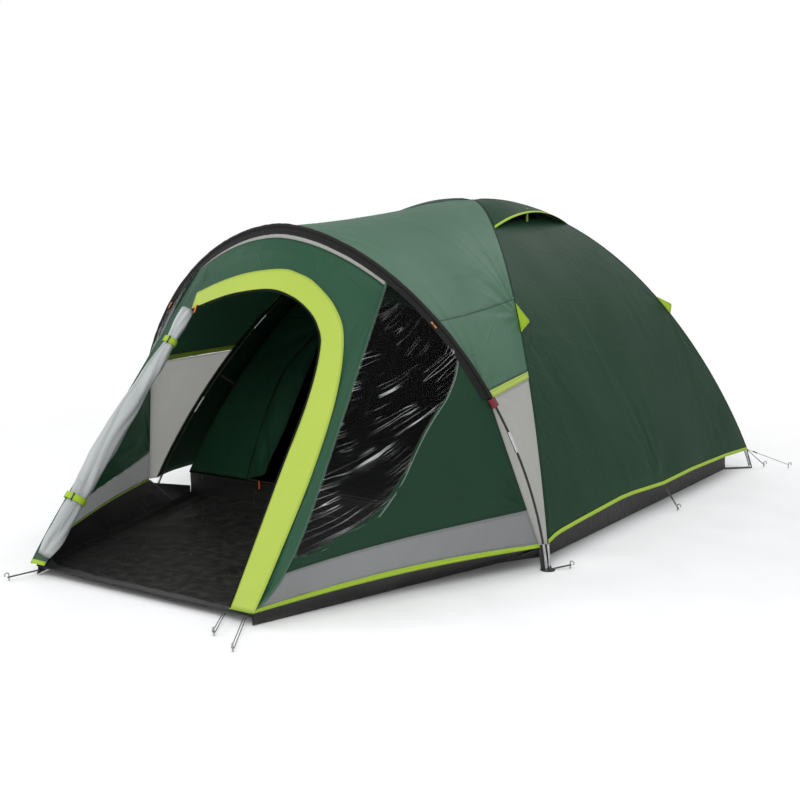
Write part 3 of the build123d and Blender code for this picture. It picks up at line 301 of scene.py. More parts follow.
def makeMesh(name, verts, faces, material, uvs=None, edge=None):
    mesh = bpy.data.meshes.new(name)
    mesh.from_pydata([tuple(v) for v in verts], [], faces)
    if uvs is not None:
        layer = mesh.uv_layers.new(name="cloth")
        loops = np.empty(len(mesh.loops), int)
        mesh.loops.foreach_get("vertex_index", loops)
        layer.data.foreach_set("uv", np.asarray(uvs, float)[loops].ravel())
    if edge is not None:
        mesh.attributes.new("edgeGap", "FLOAT", "POINT").data.foreach_set("value", np.asarray(edge, float))
    mesh.polygons.foreach_set("use_smooth", [True] * len(mesh.polygons))
    piece = bpy.data.objects.new(name, mesh)
    bpy.context.scene.collection.objects.link(piece)
    mesh.materials.append(material)
    return piece


# a panel of cloth from a grid of points, with flat coordinates in metres and a thin body
def clothGrid(name, grid, material, thickness=0.0009, closed=False, turned=False, body="root", skip=None):
    rows, columns = grid.shape[:2]
    u, v = flatLengths(grid)
    uvs = np.stack([u, v], -1).reshape(-1, 2)
    index = np.arange(rows * columns).reshape(rows, columns)
    corners = [index[:-1, :-1], index[:-1, 1:], index[1:, 1:], index[1:, :-1]]
    if turned:
        corners.reverse()
    faces = np.stack(corners, -1)
    faces = (faces.reshape(-1, 4) if skip is None else faces[~skip]).tolist()
    if closed:
        a, b = index[:-1, -1], index[:-1, 0]
        c, d = index[1:, 0], index[1:, -1]
        faces += np.stack([a, b, c, d], -1).tolist()
    start = u - u[:, :1]
    gap = np.minimum.reduce([start, start[:, -1:] - start, v, v[-1:] - v])
    piece = makeMesh(name, grid.reshape(-1, 3), faces, material, uvs, gap.ravel())
    if thickness:
        solid = piece.modifiers.new("thickness", "SOLIDIFY")
        solid.thickness = thickness
        solid.offset = 0
    if body:
        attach(piece, body)
    return piece


# as clothGrid, with the faces turned outward from a point
def outwardGrid(name, grid, material, centre=tentMiddle, **more):
    middle = tuple(n // 2 for n in grid.shape[:2])
    facing = np.dot(gridNormals(grid)[middle], grid[middle] - np.array(centre))
    return clothGrid(name, grid, material, turned=facing < 0, **more)


def cellArea(grid):
    a, b = grid[:-1, :-1], grid[1:, 1:]
    c, d = grid[:-1, 1:], grid[1:, :-1]
    return float((np.linalg.norm(np.cross(b - a, d - c), axis=-1) / 2).sum())


pattern = {"least": 0.32, "used": 0.33}  # a panel that covers less of its rectangle is given a shorter length


# works out a panel's width and length as a sheet, from its longest row, its longest column and its area
def cutFrom(grid):
    u, v = flatLengths(grid)
    width = float((u[:, -1] - u[:, 0]).max())
    length = float(v[-1].max())
    area = cellArea(grid)
    if area < pattern["least"] * width * length:
        length = area / pattern["used"] / width


def tubeGrid(path, radius, sides):  # rings of points round a path
    path = np.array(path, float)
    way = unit(np.gradient(path, axis=0))
    up = np.array([0.0, 0.0, 1.0])
    rings = []
    side = np.cross(way[0], up)
    if np.linalg.norm(side) < 0.2:
        side = np.cross(way[0], np.array([1.0, 0, 0]))
    for point, w, r in zip(path, way, np.broadcast_to(radius, len(path))):
        side = side - w * np.dot(side, w)
        side = side / np.linalg.norm(side)
        other = np.cross(w, side)
        angles = np.linspace(0, 2 * np.pi, sides, endpoint=False)
        rings.append(point + r * (np.cos(angles)[:, None] * side + np.sin(angles)[:, None] * other))
    return np.array(rings)


def sweepTube(name, path, radius, material, sides):
    return clothGrid(name, tubeGrid(path, radius, sides), material, thickness=0, closed=True)


def put(tree, kind, inputs=None, **settings):
    node = tree.nodes.new("ShaderNode" + kind)
    for key, value in settings.items():
        setattr(node, key, value)
    for key, value in (inputs or {}).items():
        if isinstance(value, bpy.types.NodeSocket):
            tree.links.new(value, node.inputs[key])
        else:
            node.inputs[key].default_value = value
    return node


def calc(tree, operation, a, b=0.5, clamp=False):
    return put(tree, "Math", {0: a, 1: b}, operation=operation, use_clamp=clamp).outputs[0]


def ramp(tree, value, low, high, toLow=0.0, toHigh=1.0):
    inputs = {"Value": value, "From Min": low, "From Max": high, "To Min": toLow, "To Max": toHigh}
    return put(tree, "MapRange", inputs, clamp=True).outputs["Result"]


def mixColour(tree, fac, a, b):
    return put(tree, "Mix", {0: fac, 6: a, 7: b}, data_type="RGBA").outputs[2]


def noise(tree, place, scale, detail, distortion=0.0):
    inputs = {"Vector": place, "Scale": scale, "Detail": detail, "Distortion": distortion}
    return put(tree, "TexNoise", inputs).outputs["Fac"]


def startGroup(name, inputs, outputs):
    group = bpy.data.node_groups.new(name, "ShaderNodeTree")
    for label, kind in inputs:
        group.interface.new_socket(name=label, in_out="INPUT", socket_type="NodeSocket" + kind)
    for label, kind in outputs:
        group.interface.new_socket(name=label, in_out="OUTPUT", socket_type="NodeSocket" + kind)
    return group, group.nodes.new("NodeGroupInput"), group.nodes.new("NodeGroupOutput")


def useGroup(tree, group, inputs):
    node = tree.nodes.new("ShaderNodeGroup")
    node.node_tree = group
    for key, value in inputs.items():
        if isinstance(value, bpy.types.NodeSocket):
            tree.links.new(value, node.inputs[key])
        else:
            node.inputs[key].default_value = value
    return node


def makeWeave():
    group, into, out = startGroup("weave", [("Place", "Vector"), ("Threads", "Float")], [("Height", "Float")])
    sockets = {0: into.outputs["Place"], "Scale": into.outputs["Threads"]}
    scaled = put(group, "VectorMath", sockets, operation="SCALE")
    parts = put(group, "SeparateXYZ", {0: scaled.outputs[0]})
    warp = calc(group, "ABSOLUTE", calc(group, "SINE", calc(group, "MULTIPLY", parts.outputs[0], np.pi)))
    weft = calc(group, "ABSOLUTE", calc(group, "SINE", calc(group, "MULTIPLY", parts.outputs[1], np.pi)))
    check = put(group, "TexChecker", {"Vector": scaled.outputs[0], "Scale": 1.0}).outputs["Fac"]
    over = put(group, "Mix", {0: check, 2: warp, 3: weft}).outputs[0]
    group.links.new(over, out.inputs["Height"])
    return group


def makeCreases():  # small sharp creases and the faint straight folds left by packing
    group, into, out = startGroup("creases", [("Place", "Vector")], [("Height", "Float"), ("PaintedCreaseShade", "Float")])
    place = into.outputs["Place"]
    fine = noise(group, place, 7.0, 5.0, 0.6)
    ridge = calc(group, "ABSOLUTE", calc(group, "SUBTRACT", fine, 0.5))
    sharp = ramp(group, ridge, 0.0, 0.07, 1.0, 0.0)
    patch = noise(group, place, 2.3, 2.0)
    sharp = calc(group, "MULTIPLY", sharp, ramp(group, patch, 0.45, 0.7))
    parts = put(group, "SeparateXYZ", {0: place})
    wander = calc(group, "MULTIPLY", calc(group, "SUBTRACT", patch, 0.5), 0.05)
    folds = []
    for axis, spacing in ((0, 0.31), (1, 0.27)):
        moved = calc(group, "ADD", parts.outputs[axis], wander)
        gap = calc(group, "PINGPONG", moved, spacing / 2)
        folds.append(ramp(group, gap, 0.0, 0.006, 1.0, 0.0))
    packed = calc(group, "MAXIMUM", folds[0], folds[1])
    packed = calc(group, "MULTIPLY", packed, ramp(group, fine, 0.4, 0.6))
    broad = noise(group, place, 3.1, 3.0)
    height = calc(group, "ADD", calc(group, "MULTIPLY", sharp, 0.4), calc(group, "MULTIPLY", packed, 0.5))
    height = calc(group, "ADD", height, broad)
    group.links.new(height, out.inputs["Height"])
    # the second output is painted shade: a mask that darkens the cloth along its sharp creases and packing
    # folds
    group.links.new(calc(group, "ADD", calc(group, "MULTIPLY", sharp, 0.5), packed), out.inputs["PaintedCreaseShade"])
    return group


def makeSeams():  # a raised turned edge with two rows of stitches, from the gap to the panel's edge
    sockets = [("Height", "Float"), ("Stitch", "Float"), ("Edge", "Float")]
    group, into, out = startGroup("seams", [("Gap", "Float"), ("Place", "Vector")], sockets)
    gap = into.outputs["Gap"]
    parts = put(group, "SeparateXYZ", {0: into.outputs["Place"]})
    along = calc(group, "ADD", parts.outputs[0], parts.outputs[1])
    dash = calc(group, "LESS_THAN", calc(group, "FRACT", calc(group, "MULTIPLY", along, 220.0)), 0.62)
    rows = []
    for place in (0.0035, 0.0085):
        away = calc(group, "ABSOLUTE", calc(group, "SUBTRACT", gap, place))
        rows.append(ramp(group, away, 0.0003, 0.0007, 1.0, 0.0))
    stitch = calc(group, "MULTIPLY", calc(group, "MAXIMUM", rows[0], rows[1]), dash)
    band = ramp(group, gap, 0.0105, 0.0125, 1.0, 0.0)
    height = calc(group, "SUBTRACT", band, calc(group, "MULTIPLY", stitch, 0.5))
    group.links.new(height, out.inputs["Height"])
    group.links.new(stitch, out.inputs["Stitch"])
    group.links.new(band, out.inputs["Edge"])
    return group


def makeDust():  # pale dust, thickest near the ground
    group, into, out = startGroup("dust", [("Place", "Vector"), ("Top", "Float")], [("Mask", "Float")])
    height = put(group, "SeparateXYZ", {0: into.outputs["Place"]}).outputs[2]
    low = put(group, "MapRange", {"Value": height, "From Min": 0.0, "From Max": into.outputs["Top"],
                                  "To Min": 1.0, "To Max": 0.0}).outputs["Result"]
    grain = noise(group, into.outputs["Place"], 26.0, 6.0)
    spots = ramp(group, grain, 0.42, 0.68)
    group.links.new(calc(group, "MULTIPLY", low, spots, clamp=True), out.inputs["Mask"])
    return group


weave, creases, seams, dust = makeWeave(), makeCreases(), makeSeams(), makeDust()


def startMaterial(name):
    material = bpy.data.materials.new(name)
    material.use_nodes = True
    tree = material.node_tree
    tree.nodes.clear()
    return material, tree, put(tree, "OutputMaterial")


def rgb(red, green, blue):  # a display colour, from 0 to 255, as the linear colour that shaders take
    shares = np.array([red, green, blue]) / 255
    linear = np.where(shares <= 0.04045, shares / 12.92, ((shares + 0.055) / 1.055) ** 2.4)
    return (*linear, 1.0)


def fabric(name, colour, shade, rough=0.5, shine=0.3, throughLight=0.12, bump=0.0022, stitches=None,
           threads=900.0, dustTop=0.16):  # coated cloth: colour in the flats, shade in creases and seams
    material, tree, out = startMaterial(name)
    uv = put(tree, "UVMap", uv_map="cloth").outputs[0]
    gap = put(tree, "Attribute", attribute_name="edgeGap").outputs["Fac"]
    place = put(tree, "TexCoord").outputs["Object"]
    weaving = useGroup(tree, weave, {"Place": uv, "Threads": threads})
    creasing = useGroup(tree, creases, {"Place": uv})
    seaming = useGroup(tree, seams, {"Gap": gap, "Place": uv})
    dusting = useGroup(tree, dust, {"Place": place, "Top": dustTop})
    cloudyTone = noise(tree, uv, 1.7, 4.0)
    tone = mixColour(tree, ramp(tree, cloudyTone, 0.3, 0.7, 0.0, 0.35), colour, shade)
    # painted shade: the colour darkened towards the shade colour along the creases and folds
    tone = mixColour(tree, calc(tree, "MULTIPLY", creasing.outputs["PaintedCreaseShade"], 0.07), tone, shade)
    tone = mixColour(tree, calc(tree, "MULTIPLY", weaving.outputs["Height"], 0.12), tone, shade)
    tone = mixColour(tree, calc(tree, "MULTIPLY", seaming.outputs["Edge"], 0.25), tone, shade)
    tone = mixColour(tree, seaming.outputs["Stitch"], tone, stitches or shade)
    tone = mixColour(tree, calc(tree, "MULTIPLY", dusting.outputs["Mask"], 0.12), tone, rgb(150, 145, 130))
    roughness = ramp(tree, cloudyTone, 0.3, 0.7, rough - 0.05, rough + 0.06)
    threadsUp = {"Height": weaving.outputs["Height"], "Distance": 0.00012, "Strength": 0.5}
    normal = put(tree, "Bump", threadsUp).outputs[0]
    for group, distance in ((seaming, 0.0006), (creasing, bump)):
        inputs = {"Height": group.outputs["Height"], "Distance": distance, "Normal": normal}
        normal = put(tree, "Bump", inputs).outputs[0]
    surface = put(tree, "BsdfPrincipled", {
        "Base Color": tone, "Roughness": roughness, "Specular IOR Level": shine, "Normal": normal,
        "Sheen Weight": 0.02, "Sheen Roughness": 0.4,
    })
    glow = put(tree, "BsdfTranslucent", {"Color": tone, "Normal": normal})
    mixed = put(tree, "MixShader", {0: throughLight, 1: surface.outputs[0], 2: glow.outputs[0]})
    tree.links.new(mixed.outputs[0], out.inputs["Surface"])
    return material


def clearSheet(name):  # soft clear sheet, faintly hazy, with painted reflections: bright pale lines along its creases
    material, tree, out = startMaterial(name)
    uv = put(tree, "UVMap", uv_map="cloth").outputs[0]
    turned = put(tree, "Mapping", {"Vector": uv, "Rotation": (0, 0, -0.6)}).outputs[0]
    stretched = put(tree, "Mapping", {"Vector": turned, "Scale": (1.6, 26, 1)}).outputs[0]
    ripple = noise(tree, stretched, 1.3, 1.0, 0.3)
    ridge = ramp(tree, calc(tree, "ABSOLUTE", calc(tree, "SUBTRACT", ripple, 0.5)), 0.0, 0.022, 1.0, 0.0)
    broad = noise(tree, uv, 6.0, 3.0)
    gap = put(tree, "Attribute", attribute_name="edgeGap").outputs["Fac"]
    hem = ramp(tree, gap, 0.004, 0.009, 1.0, 0.0)
    height = calc(tree, "ADD", calc(tree, "MULTIPLY", ripple, 0.15), calc(tree, "MULTIPLY", broad, 1.2))
    normal = put(tree, "Bump", {"Height": height, "Distance": 0.006, "Strength": 0.7}).outputs[0]
    facing = put(tree, "Fresnel", {"IOR": 1.5}).outputs[0]
    gloss = put(tree, "BsdfGlossy", {"Color": (0.95, 0.97, 0.97, 1), "Roughness": 0.24})
    hazeAndPaintedReflections = put(tree, "BsdfDiffuse", {"Color": (0.78, 0.8, 0.79, 1), "Normal": normal})
    clear = put(tree, "BsdfTransparent", {"Color": (0.9, 0.93, 0.92, 1)})
    down = put(tree, "SeparateXYZ", {0: uv}).outputs[1]
    spots = calc(tree, "MULTIPLY", ramp(tree, broad, 0.46, 0.6), ramp(tree, down, 0.2, 0.5, 0.15, 1.0))
    # painted reflections: a pale diffuse colour laid along the creases, where the clear sheet would reflect
    # light
    paintedReflectionStreaks = calc(tree, "MULTIPLY", ridge, spots)
    amount = calc(tree, "ADD", calc(tree, "MULTIPLY", paintedReflectionStreaks, 0.5), calc(tree, "MULTIPLY", hem, 0.1))
    amount = calc(tree, "ADD", amount, 0.006, clamp=True)
    hazed = put(tree, "MixShader", {0: amount, 1: clear.outputs[0], 2: hazeAndPaintedReflections.outputs[0]})
    slant = calc(tree, "SUBTRACT", facing, 0.12, clamp=True)  # shines only at a slant
    share = calc(tree, "MULTIPLY", slant, 0.4)
    mixed = put(tree, "MixShader", {0: share, 1: hazed.outputs[0], 2: gloss.outputs[0]})
    tree.links.new(mixed.outputs[0], out.inputs["Surface"])
    return material


def netting(name):  # fine net: round threads with holes between them
    material, tree, out = startMaterial(name)
    uv = put(tree, "UVMap", uv_map="cloth").outputs[0]
    parts = put(tree, "SeparateXYZ", {0: uv})
    threads = []
    for axis in (0, 1):
        away = calc(tree, "PINGPONG", parts.outputs[axis], 0.0009)
        threads.append(calc(tree, "LESS_THAN", away, 0.0003))
    solid = calc(tree, "MAXIMUM", threads[0], threads[1])
    clear = put(tree, "BsdfTransparent")
    thread = put(tree, "BsdfPrincipled", {"Base Color": rgb(20, 20, 20), "Roughness": 0.7})
    mixed = put(tree, "MixShader", {0: solid, 1: clear.outputs[0], 2: thread.outputs[0]})
    tree.links.new(mixed.outputs[0], out.inputs["Surface"])
    return material


# a hard or woven surface for pieces without cloth coordinates: mottled, scuffed and slightly uneven
def solidSurface(name, colour, worn, rough=0.4, metal=0.0, grain=60.0, bump=0.0002, ribs=0.0):
    material, tree, out = startMaterial(name)
    place = put(tree, "TexCoord").outputs["Object"]
    mottle = noise(tree, place, grain, 5.0)
    scuff = noise(tree, place, grain * 5, 4.0, 0.8)
    marks = ramp(tree, scuff, 0.58, 0.72)
    dusting = useGroup(tree, dust, {"Place": place, "Top": 0.14})
    tone = mixColour(tree, ramp(tree, mottle, 0.35, 0.65, 0.0, 0.4), colour, worn)
    tone = mixColour(tree, calc(tree, "MULTIPLY", marks, 0.35), tone, worn)
    tone = mixColour(tree, calc(tree, "MULTIPLY", dusting.outputs["Mask"], 0.15), tone, rgb(150, 145, 130))
    height = calc(tree, "ADD", mottle, calc(tree, "MULTIPLY", scuff, 0.4))
    if ribs:
        inputs = {"Vector": place, "Scale": ribs, "Distortion": 1.0}
        wave = put(tree, "TexWave", inputs, bands_direction="DIAGONAL")
        height = calc(tree, "ADD", height, calc(tree, "MULTIPLY", wave.outputs["Fac"], 2.0))
        tone = mixColour(tree, calc(tree, "MULTIPLY", wave.outputs["Fac"], 0.5), worn, tone)
    normal = put(tree, "Bump", {"Height": height, "Distance": bump}).outputs[0]
    roughness = ramp(tree, mottle, 0.3, 0.7, rough - 0.08, rough + 0.1)
    surface = put(tree, "BsdfPrincipled", {
        "Base Color": tone, "Metallic": metal, "Roughness": roughness, "Normal": normal,
        "Specular IOR Level": 0.5,
    })
    tree.links.new(surface.outputs[0], out.inputs["Surface"])
    return material


def toothed(name):  # a closed zip: black tape with a row of small coils down its middle
    material, tree, out = startMaterial(name)
    uv = put(tree, "UVMap", uv_map="cloth").outputs[0]
    gap = put(tree, "Attribute", attribute_name="edgeGap").outputs["Fac"]
    parts = put(tree, "SeparateXYZ", {0: uv})
    along = calc(tree, "SINE", calc(tree, "MULTIPLY", parts.outputs[1], 2 * np.pi / 0.0016))
    middle = ramp(tree, gap, 0.0022, 0.003)
    height = calc(tree, "MULTIPLY", middle, calc(tree, "ADD", calc(tree, "MULTIPLY", along, 0.3), 1.0))
    normal = put(tree, "Bump", {"Height": height, "Distance": 0.0012}).outputs[0]
    tone = mixColour(tree, middle, rgb(14, 14, 14), rgb(26, 26, 27))
    surface = put(tree, "BsdfPrincipled", {"Base Color": tone, "Roughness": 0.7, "Normal": normal,
                                             "Specular IOR Level": 0.1})
    tree.links.new(surface.outputs[0], out.inputs["Surface"])
    return material


lightGreen = fabric("lightGreen", rgb(66, 110, 84), rgb(50, 88, 66), rough=0.5, shine=0.25, throughLight=0.22,
                    stitches=rgb(32, 60, 44))
# painted shade: a darker copy of the light green fly cloth, for the porch sides that face away from the light
porchGreenPaintedShade = fabric("porchGreenPaintedShade", rgb(26, 62, 41), rgb(18, 47, 31), rough=0.5, shine=0.25, throughLight=0.26,
                    stitches=rgb(10, 30, 20))
frontGreen = fabric("frontGreen", rgb(34, 78, 54), rgb(22, 58, 38), rough=0.5, shine=0.25,
                    stitches=rgb(16, 42, 28))
darkGreen = fabric("darkGreen", rgb(19, 57, 35), rgb(13, 44, 26), rough=0.55, shine=0.14,
                   stitches=rgb(12, 32, 20))
limeCloth = fabric("limeCloth", rgb(176, 196, 80), rgb(148, 170, 56), rough=0.5, bump=0.0015,
                   stitches=rgb(130, 160, 40))
limeTape = fabric("limeTape", rgb(172, 204, 50), rgb(140, 172, 36), rough=0.55, bump=0.0008, threads=500.0,
                  stitches=rgb(110, 140, 30))
greyCloth = fabric("greyCloth", rgb(146, 148, 148), rgb(116, 118, 118), rough=0.5, throughLight=0.34,
                    stitches=rgb(90, 92, 92))
sideGrey = fabric("sideGrey", rgb(192, 191, 186), rgb(160, 159, 153), rough=0.5, throughLight=0.37,
                  stitches=rgb(100, 100, 96))
liningGrey = fabric("liningGrey", rgb(186, 190, 190), rgb(128, 132, 132), rough=0.45, shine=0.35,
                    stitches=rgb(110, 112, 112))
blackCloth = fabric("blackCloth", rgb(26, 26, 24), rgb(12, 12, 12), rough=0.6, shine=0.2, throughLight=0.0,
                    bump=0.0025, stitches=rgb(48, 48, 46))
innerCloth = fabric("innerCloth", rgb(16, 18, 17), rgb(9, 10, 9), rough=0.75, shine=0.06, throughLight=0.02)
# painted light: a green-lit copy of the black inner cloth, for the front wall and door flap where green light
# through the fly falls
innerClothPaintedGreenLight = fabric("innerClothPaintedGreenLight", rgb(26, 66, 46), rgb(16, 44, 30), rough=0.7, shine=0.15, throughLight=0.2)
tubSheet = fabric("tubSheet", rgb(36, 35, 34), rgb(20, 20, 20), rough=0.5, shine=0.3, throughLight=0.0,
                  bump=0.006, threads=400.0, dustTop=0.02, stitches=rgb(56, 56, 54))
floorSheet = fabric("floorSheet", rgb(24, 23, 23), rgb(12, 12, 12), rough=0.55, shine=0.25, throughLight=0.0,
                    bump=0.012, threads=400.0, dustTop=0.02)
clearPane = clearSheet("clearPane")
netCloth = netting("netCloth")
zipTape = toothed("zipTape")
# the window's edge tape in pale grey-green: partly its own colour, partly a painted highlight of the clear
# sheet along the seam
windowTapeAndPaintedHighlight = fabric("windowTapeAndPaintedHighlight", rgb(112, 132, 120), rgb(84, 104, 92), rough=0.5, bump=0.0005, threads=500.0)
print("materials done")


def bothSides(build):
    for side, label in ((1, "Right"), (-1, "Left")):
        build(side, label)


def flip(grid, side):
    return grid if side > 0 else grid * np.array([-1.0, 1.0, 1.0])


def towards(start, finish):
    return unit(finish - start)


def dress(piece, slot, *replaced):
    for node in replaced:
        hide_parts(node)
    return piece


def creaseLine(shares):  # the crease at signed shares: the sign gives the side
    right, left = (crease(np.abs(shares), side) for side in (1, -1))
    return np.where((shares >= 0)[:, None], right, left)


def panel(name, grid, material, replaced, slot, height=None, thickness=0.0009,
          declare=True, centre=tentMiddle):
    if height is not None:
        grid = crumpled(grid, height, centre=centre)
    piece = outwardGrid(name, grid, material, centre=centre, thickness=thickness)
    dress(piece, slot, *replaced)
    if declare:
        cutFrom(grid)
    return piece


hood = {"sag": 0.012, "folds": 0.0018, "seamWidth": 0.012, "seamShare": 0.64, "seamLift": 0.0014}
stripArch, stripMain = float(archShare(0.727)), float(mainShare(0.718, crownZ))
lowArch, lowMain = float(archShare(0.701)), float(mainShare(0.692, crownZ))


def buildHood():
    ks = spread(241, -1, 1)
    grid = blendRows(archEdge(ks * stripArch), creaseLine(ks * stripMain), 81)
    grid[..., 2] -= hood["sag"] * np.sin(np.pi * spread(81))[:, None] * (1 - ks[None] ** 4)
    u, v = flatLengths(grid)
    height = hood["folds"] * foldField(u, v, 78, 0.07, 3)
    height = height + pulls(grid, (
        (archPoint(0.82, 0.01), 0.010, 1), (archPoint(-0.82, 0.01), 0.010, 2),
        (archPoint(0.0, 0.01), 0.004, 7), (crease(0.61, 1, -1), 0.006, 5),
        (crease(0.61, -1, -1), 0.006, 6), ((0, crownY, crownZ), 0.007, 4),
    ), 4.5, 0.22)
    panel("flyHood", grid, lightGreen, ["fly_hood"], "fly_light_green", height)
    full = crumpled(grid, height)
    for side in (1, -1):
        middle = side * hood["seamShare"] / stripArch
        column = int(np.argmin(np.abs(ks - middle)))
        strip = full[:, column - 1:column + 2] + outward(full)[:, column - 1:column + 2] * hood["seamLift"]
        way = unit(strip[:, 2:] - strip[:, :1])
        strip = strip[:, 1:2] + way * (spread(3, -0.5, 0.5) * hood["seamWidth"])[None, :, None]
        dress(outwardGrid(f"hoodSeam{'Left' if side < 0 else 'Right'}", strip, lightGreen), "fly_light_green")


buildHood()


shoulder = {"folds": 0.003, "inset": 0.0080, "lift": 0.0015, "greyFolds": 0.006, "greyPull": 0.007}


def buildShoulder(side, label):
    rows = spread(61)
    start = [archEdge(np.array([s]), shoulder["inset"])[0] for s in (stripArch, lowArch)]
    finish = [crease(s, 1, -1, flySeat + shoulder["lift"]) for s in (stripMain, lowMain)]
    grid = np.stack([start[k] + (finish[k] - start[k]) * rows[:, None] for k in (0, 1)])
    grid = np.stack([grid[0] + (grid[1] - grid[0]) * f for f in spread(5)])
    u, v = flatLengths(grid)
    height = shoulder["folds"] * foldField(u, v, 85, 0.05, 8 + side)
    grid = crumpled(grid, height, "lr", 0.03)
    panel(f"shoulderStrip{label}", flip(grid, side), limeCloth, ["shoulder_strips"], "lime_trim")
    ks = spread(61)
    tops = archEdge(sleeveTab + (1 - sleeveTab) * ks * 0.985)
    lows = crease(lowMain + (float(mainShare(hemHeight, crownZ)) - lowMain) * ks, 1, -1)
    grid = tops[:, None] + (lows - tops)[:, None] * spread(41)[None, :, None]
    u, v = flatLengths(grid)
    height = shoulder["greyFolds"] * foldField(u, v, 62, 0.09, 21 + side) * edgeFade(grid, 0.05)
    height = height + shoulder["greyPull"] * rays(grid, tops[0], 4, 0.25, 23)
    panel(f"greyPanel{label}", flip(grid, side), sideGrey, [f"grey_panel_{label.lower()}"], "grey_side_cloth",
          height, thickness=0)


bothSides(buildShoulder)
print("hood done")

hemCurve = np.array([
    (0.05, 0.094), (0.107, 0.107), (0.16, 0.113), (0.33, 0.120), (0.73, 0.133), (0.85, 0.131), (1.17, 0.114),
    (1.51, 0.118), (1.94, 0.110), (2.25, 0.087), (2.36, 0.076),
])


def hemAt(y):
    return np.interp(y, hemCurve[:, 0], np.clip(hemCurve[:, 1], 0.094, 0.2))


dome = {"folds": 0.00175, "pull": 0.35, "ventIn": 0.175, "ventOut": 0.285, "ventHalf": 0.15, "netGap": 0.007,
        "sideLimit": 1.035, "rearLimit": 2.286, "rearHem": 0.114, "rearDip": 0.02}
binding = {"lift": 0.0025, "thick": 0.0015, "width": 0.014, "over": 0.002}


# the side panel at shares down from the crown and from the front crease to the rear one
def domeGrid(us, ws, above=flySeat):
    share, across = np.broadcast_arrays(us, ws)
    front = crease(share, 1, -1, above)
    reach = (crownY - front[..., 1]) * across
    return stack(front[..., 0], crownY + reach, front[..., 2])


def hemShares(ws, foot):
    ys = crownY + ws * halfWidth * rearSlope * 0.95
    return mainShare(hemAt(ys) + foot, crownZ)


def buildDome(side, label):
    ws = spread(121, -1, 1)
    rows = spread(131, 0.002, 1)
    us = rows[:, None] * hemShares(ws, 0.0)[None]
    grid = domeGrid(us, ws[None])
    u, v = flatLengths(grid)
    height = dome["folds"] * foldField(u, v, 84, 0.11, 31 + side)
    height = height + pulls(grid, (
        (crease(0.99, 1, -1), 0.016, 3), (crease(0.99, 1, 1), 0.016, 4), (crease(0.64, 1, -1), 0.009, 5),
        (crease(0.65, 1, 1), 0.010, 6), ((0, crownY, crownZ), 0.006, 7), ((0.99, 1.17, 0.12), 0.014, 8),
    ), 5, 0.3, dome["pull"])
    height = height * np.clip((us - 0.02) / 0.1, 0, 1)
    full = crumpled(grid, height)
    full[..., 0] = np.minimum(full[..., 0], dome["sideLimit"])
    middle = (full[:-1, :-1] + full[1:, 1:]) / 2
    hole = (np.abs(middle[..., 1] - crownY) < dome["ventHalf"]) & (middle[..., 0] > dome["ventIn"])
    hole &= middle[..., 0] < dome["ventOut"]
    piece = outwardGrid(f"domeSide{label}", flip(full, side), darkGreen, skip=hole)
    dress(piece, "fly_dark_green", f"fly_dome_{label.lower()}")
    cutFrom(full)
    xs = spread(21, dome["ventIn"] - 0.015, dome["ventOut"] + 0.015)
    ys = spread(41, -dome["ventHalf"] - 0.02, dome["ventHalf"] + 0.02)
    net = domeGrid(xs[:, None] / halfWidth, ys[None] / (xs[:, None] * rearSlope), flySeat - dome["netGap"])
    dress(outwardGrid(f"ventNet{label}", flip(net, side), netCloth, thickness=0), "black_mesh", "vent_meshes")
    rows = spread(4)
    low, top = hemShares(ws, -0.001), hemShares(ws, binding["width"])
    band = domeGrid(top[None] + (low - top)[None] * rows[:, None], ws[None], flySeat + binding["lift"])
    band[..., 0] = np.minimum(band[..., 0], dome["sideLimit"] + binding["over"])
    piece = outwardGrid(f"hemBandSide{label}", flip(band, side), limeTape, thickness=binding["thick"])
    dress(piece, "lime_binding", "hem_binding")


def buildRear():
    ws = spread(121, -1, 1)
    rows = spread(131, 0.002, 1)
    foot = dome["rearHem"] - dome["rearDip"] * np.abs(ws) ** 2
    low, top = (mainShare(foot + more, crownZ) for more in (0, binding["width"]))

    def rearGrid(us, above=flySeat):
        share, across = np.broadcast_arrays(us, ws[None])
        place = crease(share, 1, 1, above)
        return stack(place[..., 0] * across, place[..., 1], place[..., 2])

    grid = rearGrid(rows[:, None] * low[None])
    u, v = flatLengths(grid)
    height = dome["folds"] * foldField(u, v, 95, 0.11, 41)
    height = height + pulls(grid, (
        (crease(0.99, 1, 1), 0.016, 3), (crease(0.99, -1, 1), 0.016, 4), (crease(0.65, 1, 1), 0.010, 5),
        (crease(0.65, -1, 1), 0.010, 6), ((0, 2.2, 0.12), 0.014, 8),
    ), 5, 0.3, dome["pull"])
    full = crumpled(grid, height * np.clip(rows[:, None] / 0.1, 0, 1))
    full[..., 1] = np.minimum(full[..., 1], dome["rearLimit"])
    piece = outwardGrid("domeRear", full, darkGreen, centre=bedMiddle)
    dress(piece, "fly_dark_green", "fly_dome_rear")
    cutFrom(full)
    band = rearGrid(top[None] + (low - top)[None] * spread(4)[:, None], flySeat + binding["lift"])
    band[..., 1] = np.minimum(band[..., 1], dome["rearLimit"] + binding["over"])
    piece = outwardGrid("hemBandRear", band, limeTape, centre=bedMiddle, thickness=binding["thick"])
    dress(piece, "lime_binding", "hem_binding")


bothSides(buildDome)
buildRear()

creaseSeam = {"width": 0.011, "lift": 0.0016, "drop": 0.0044}


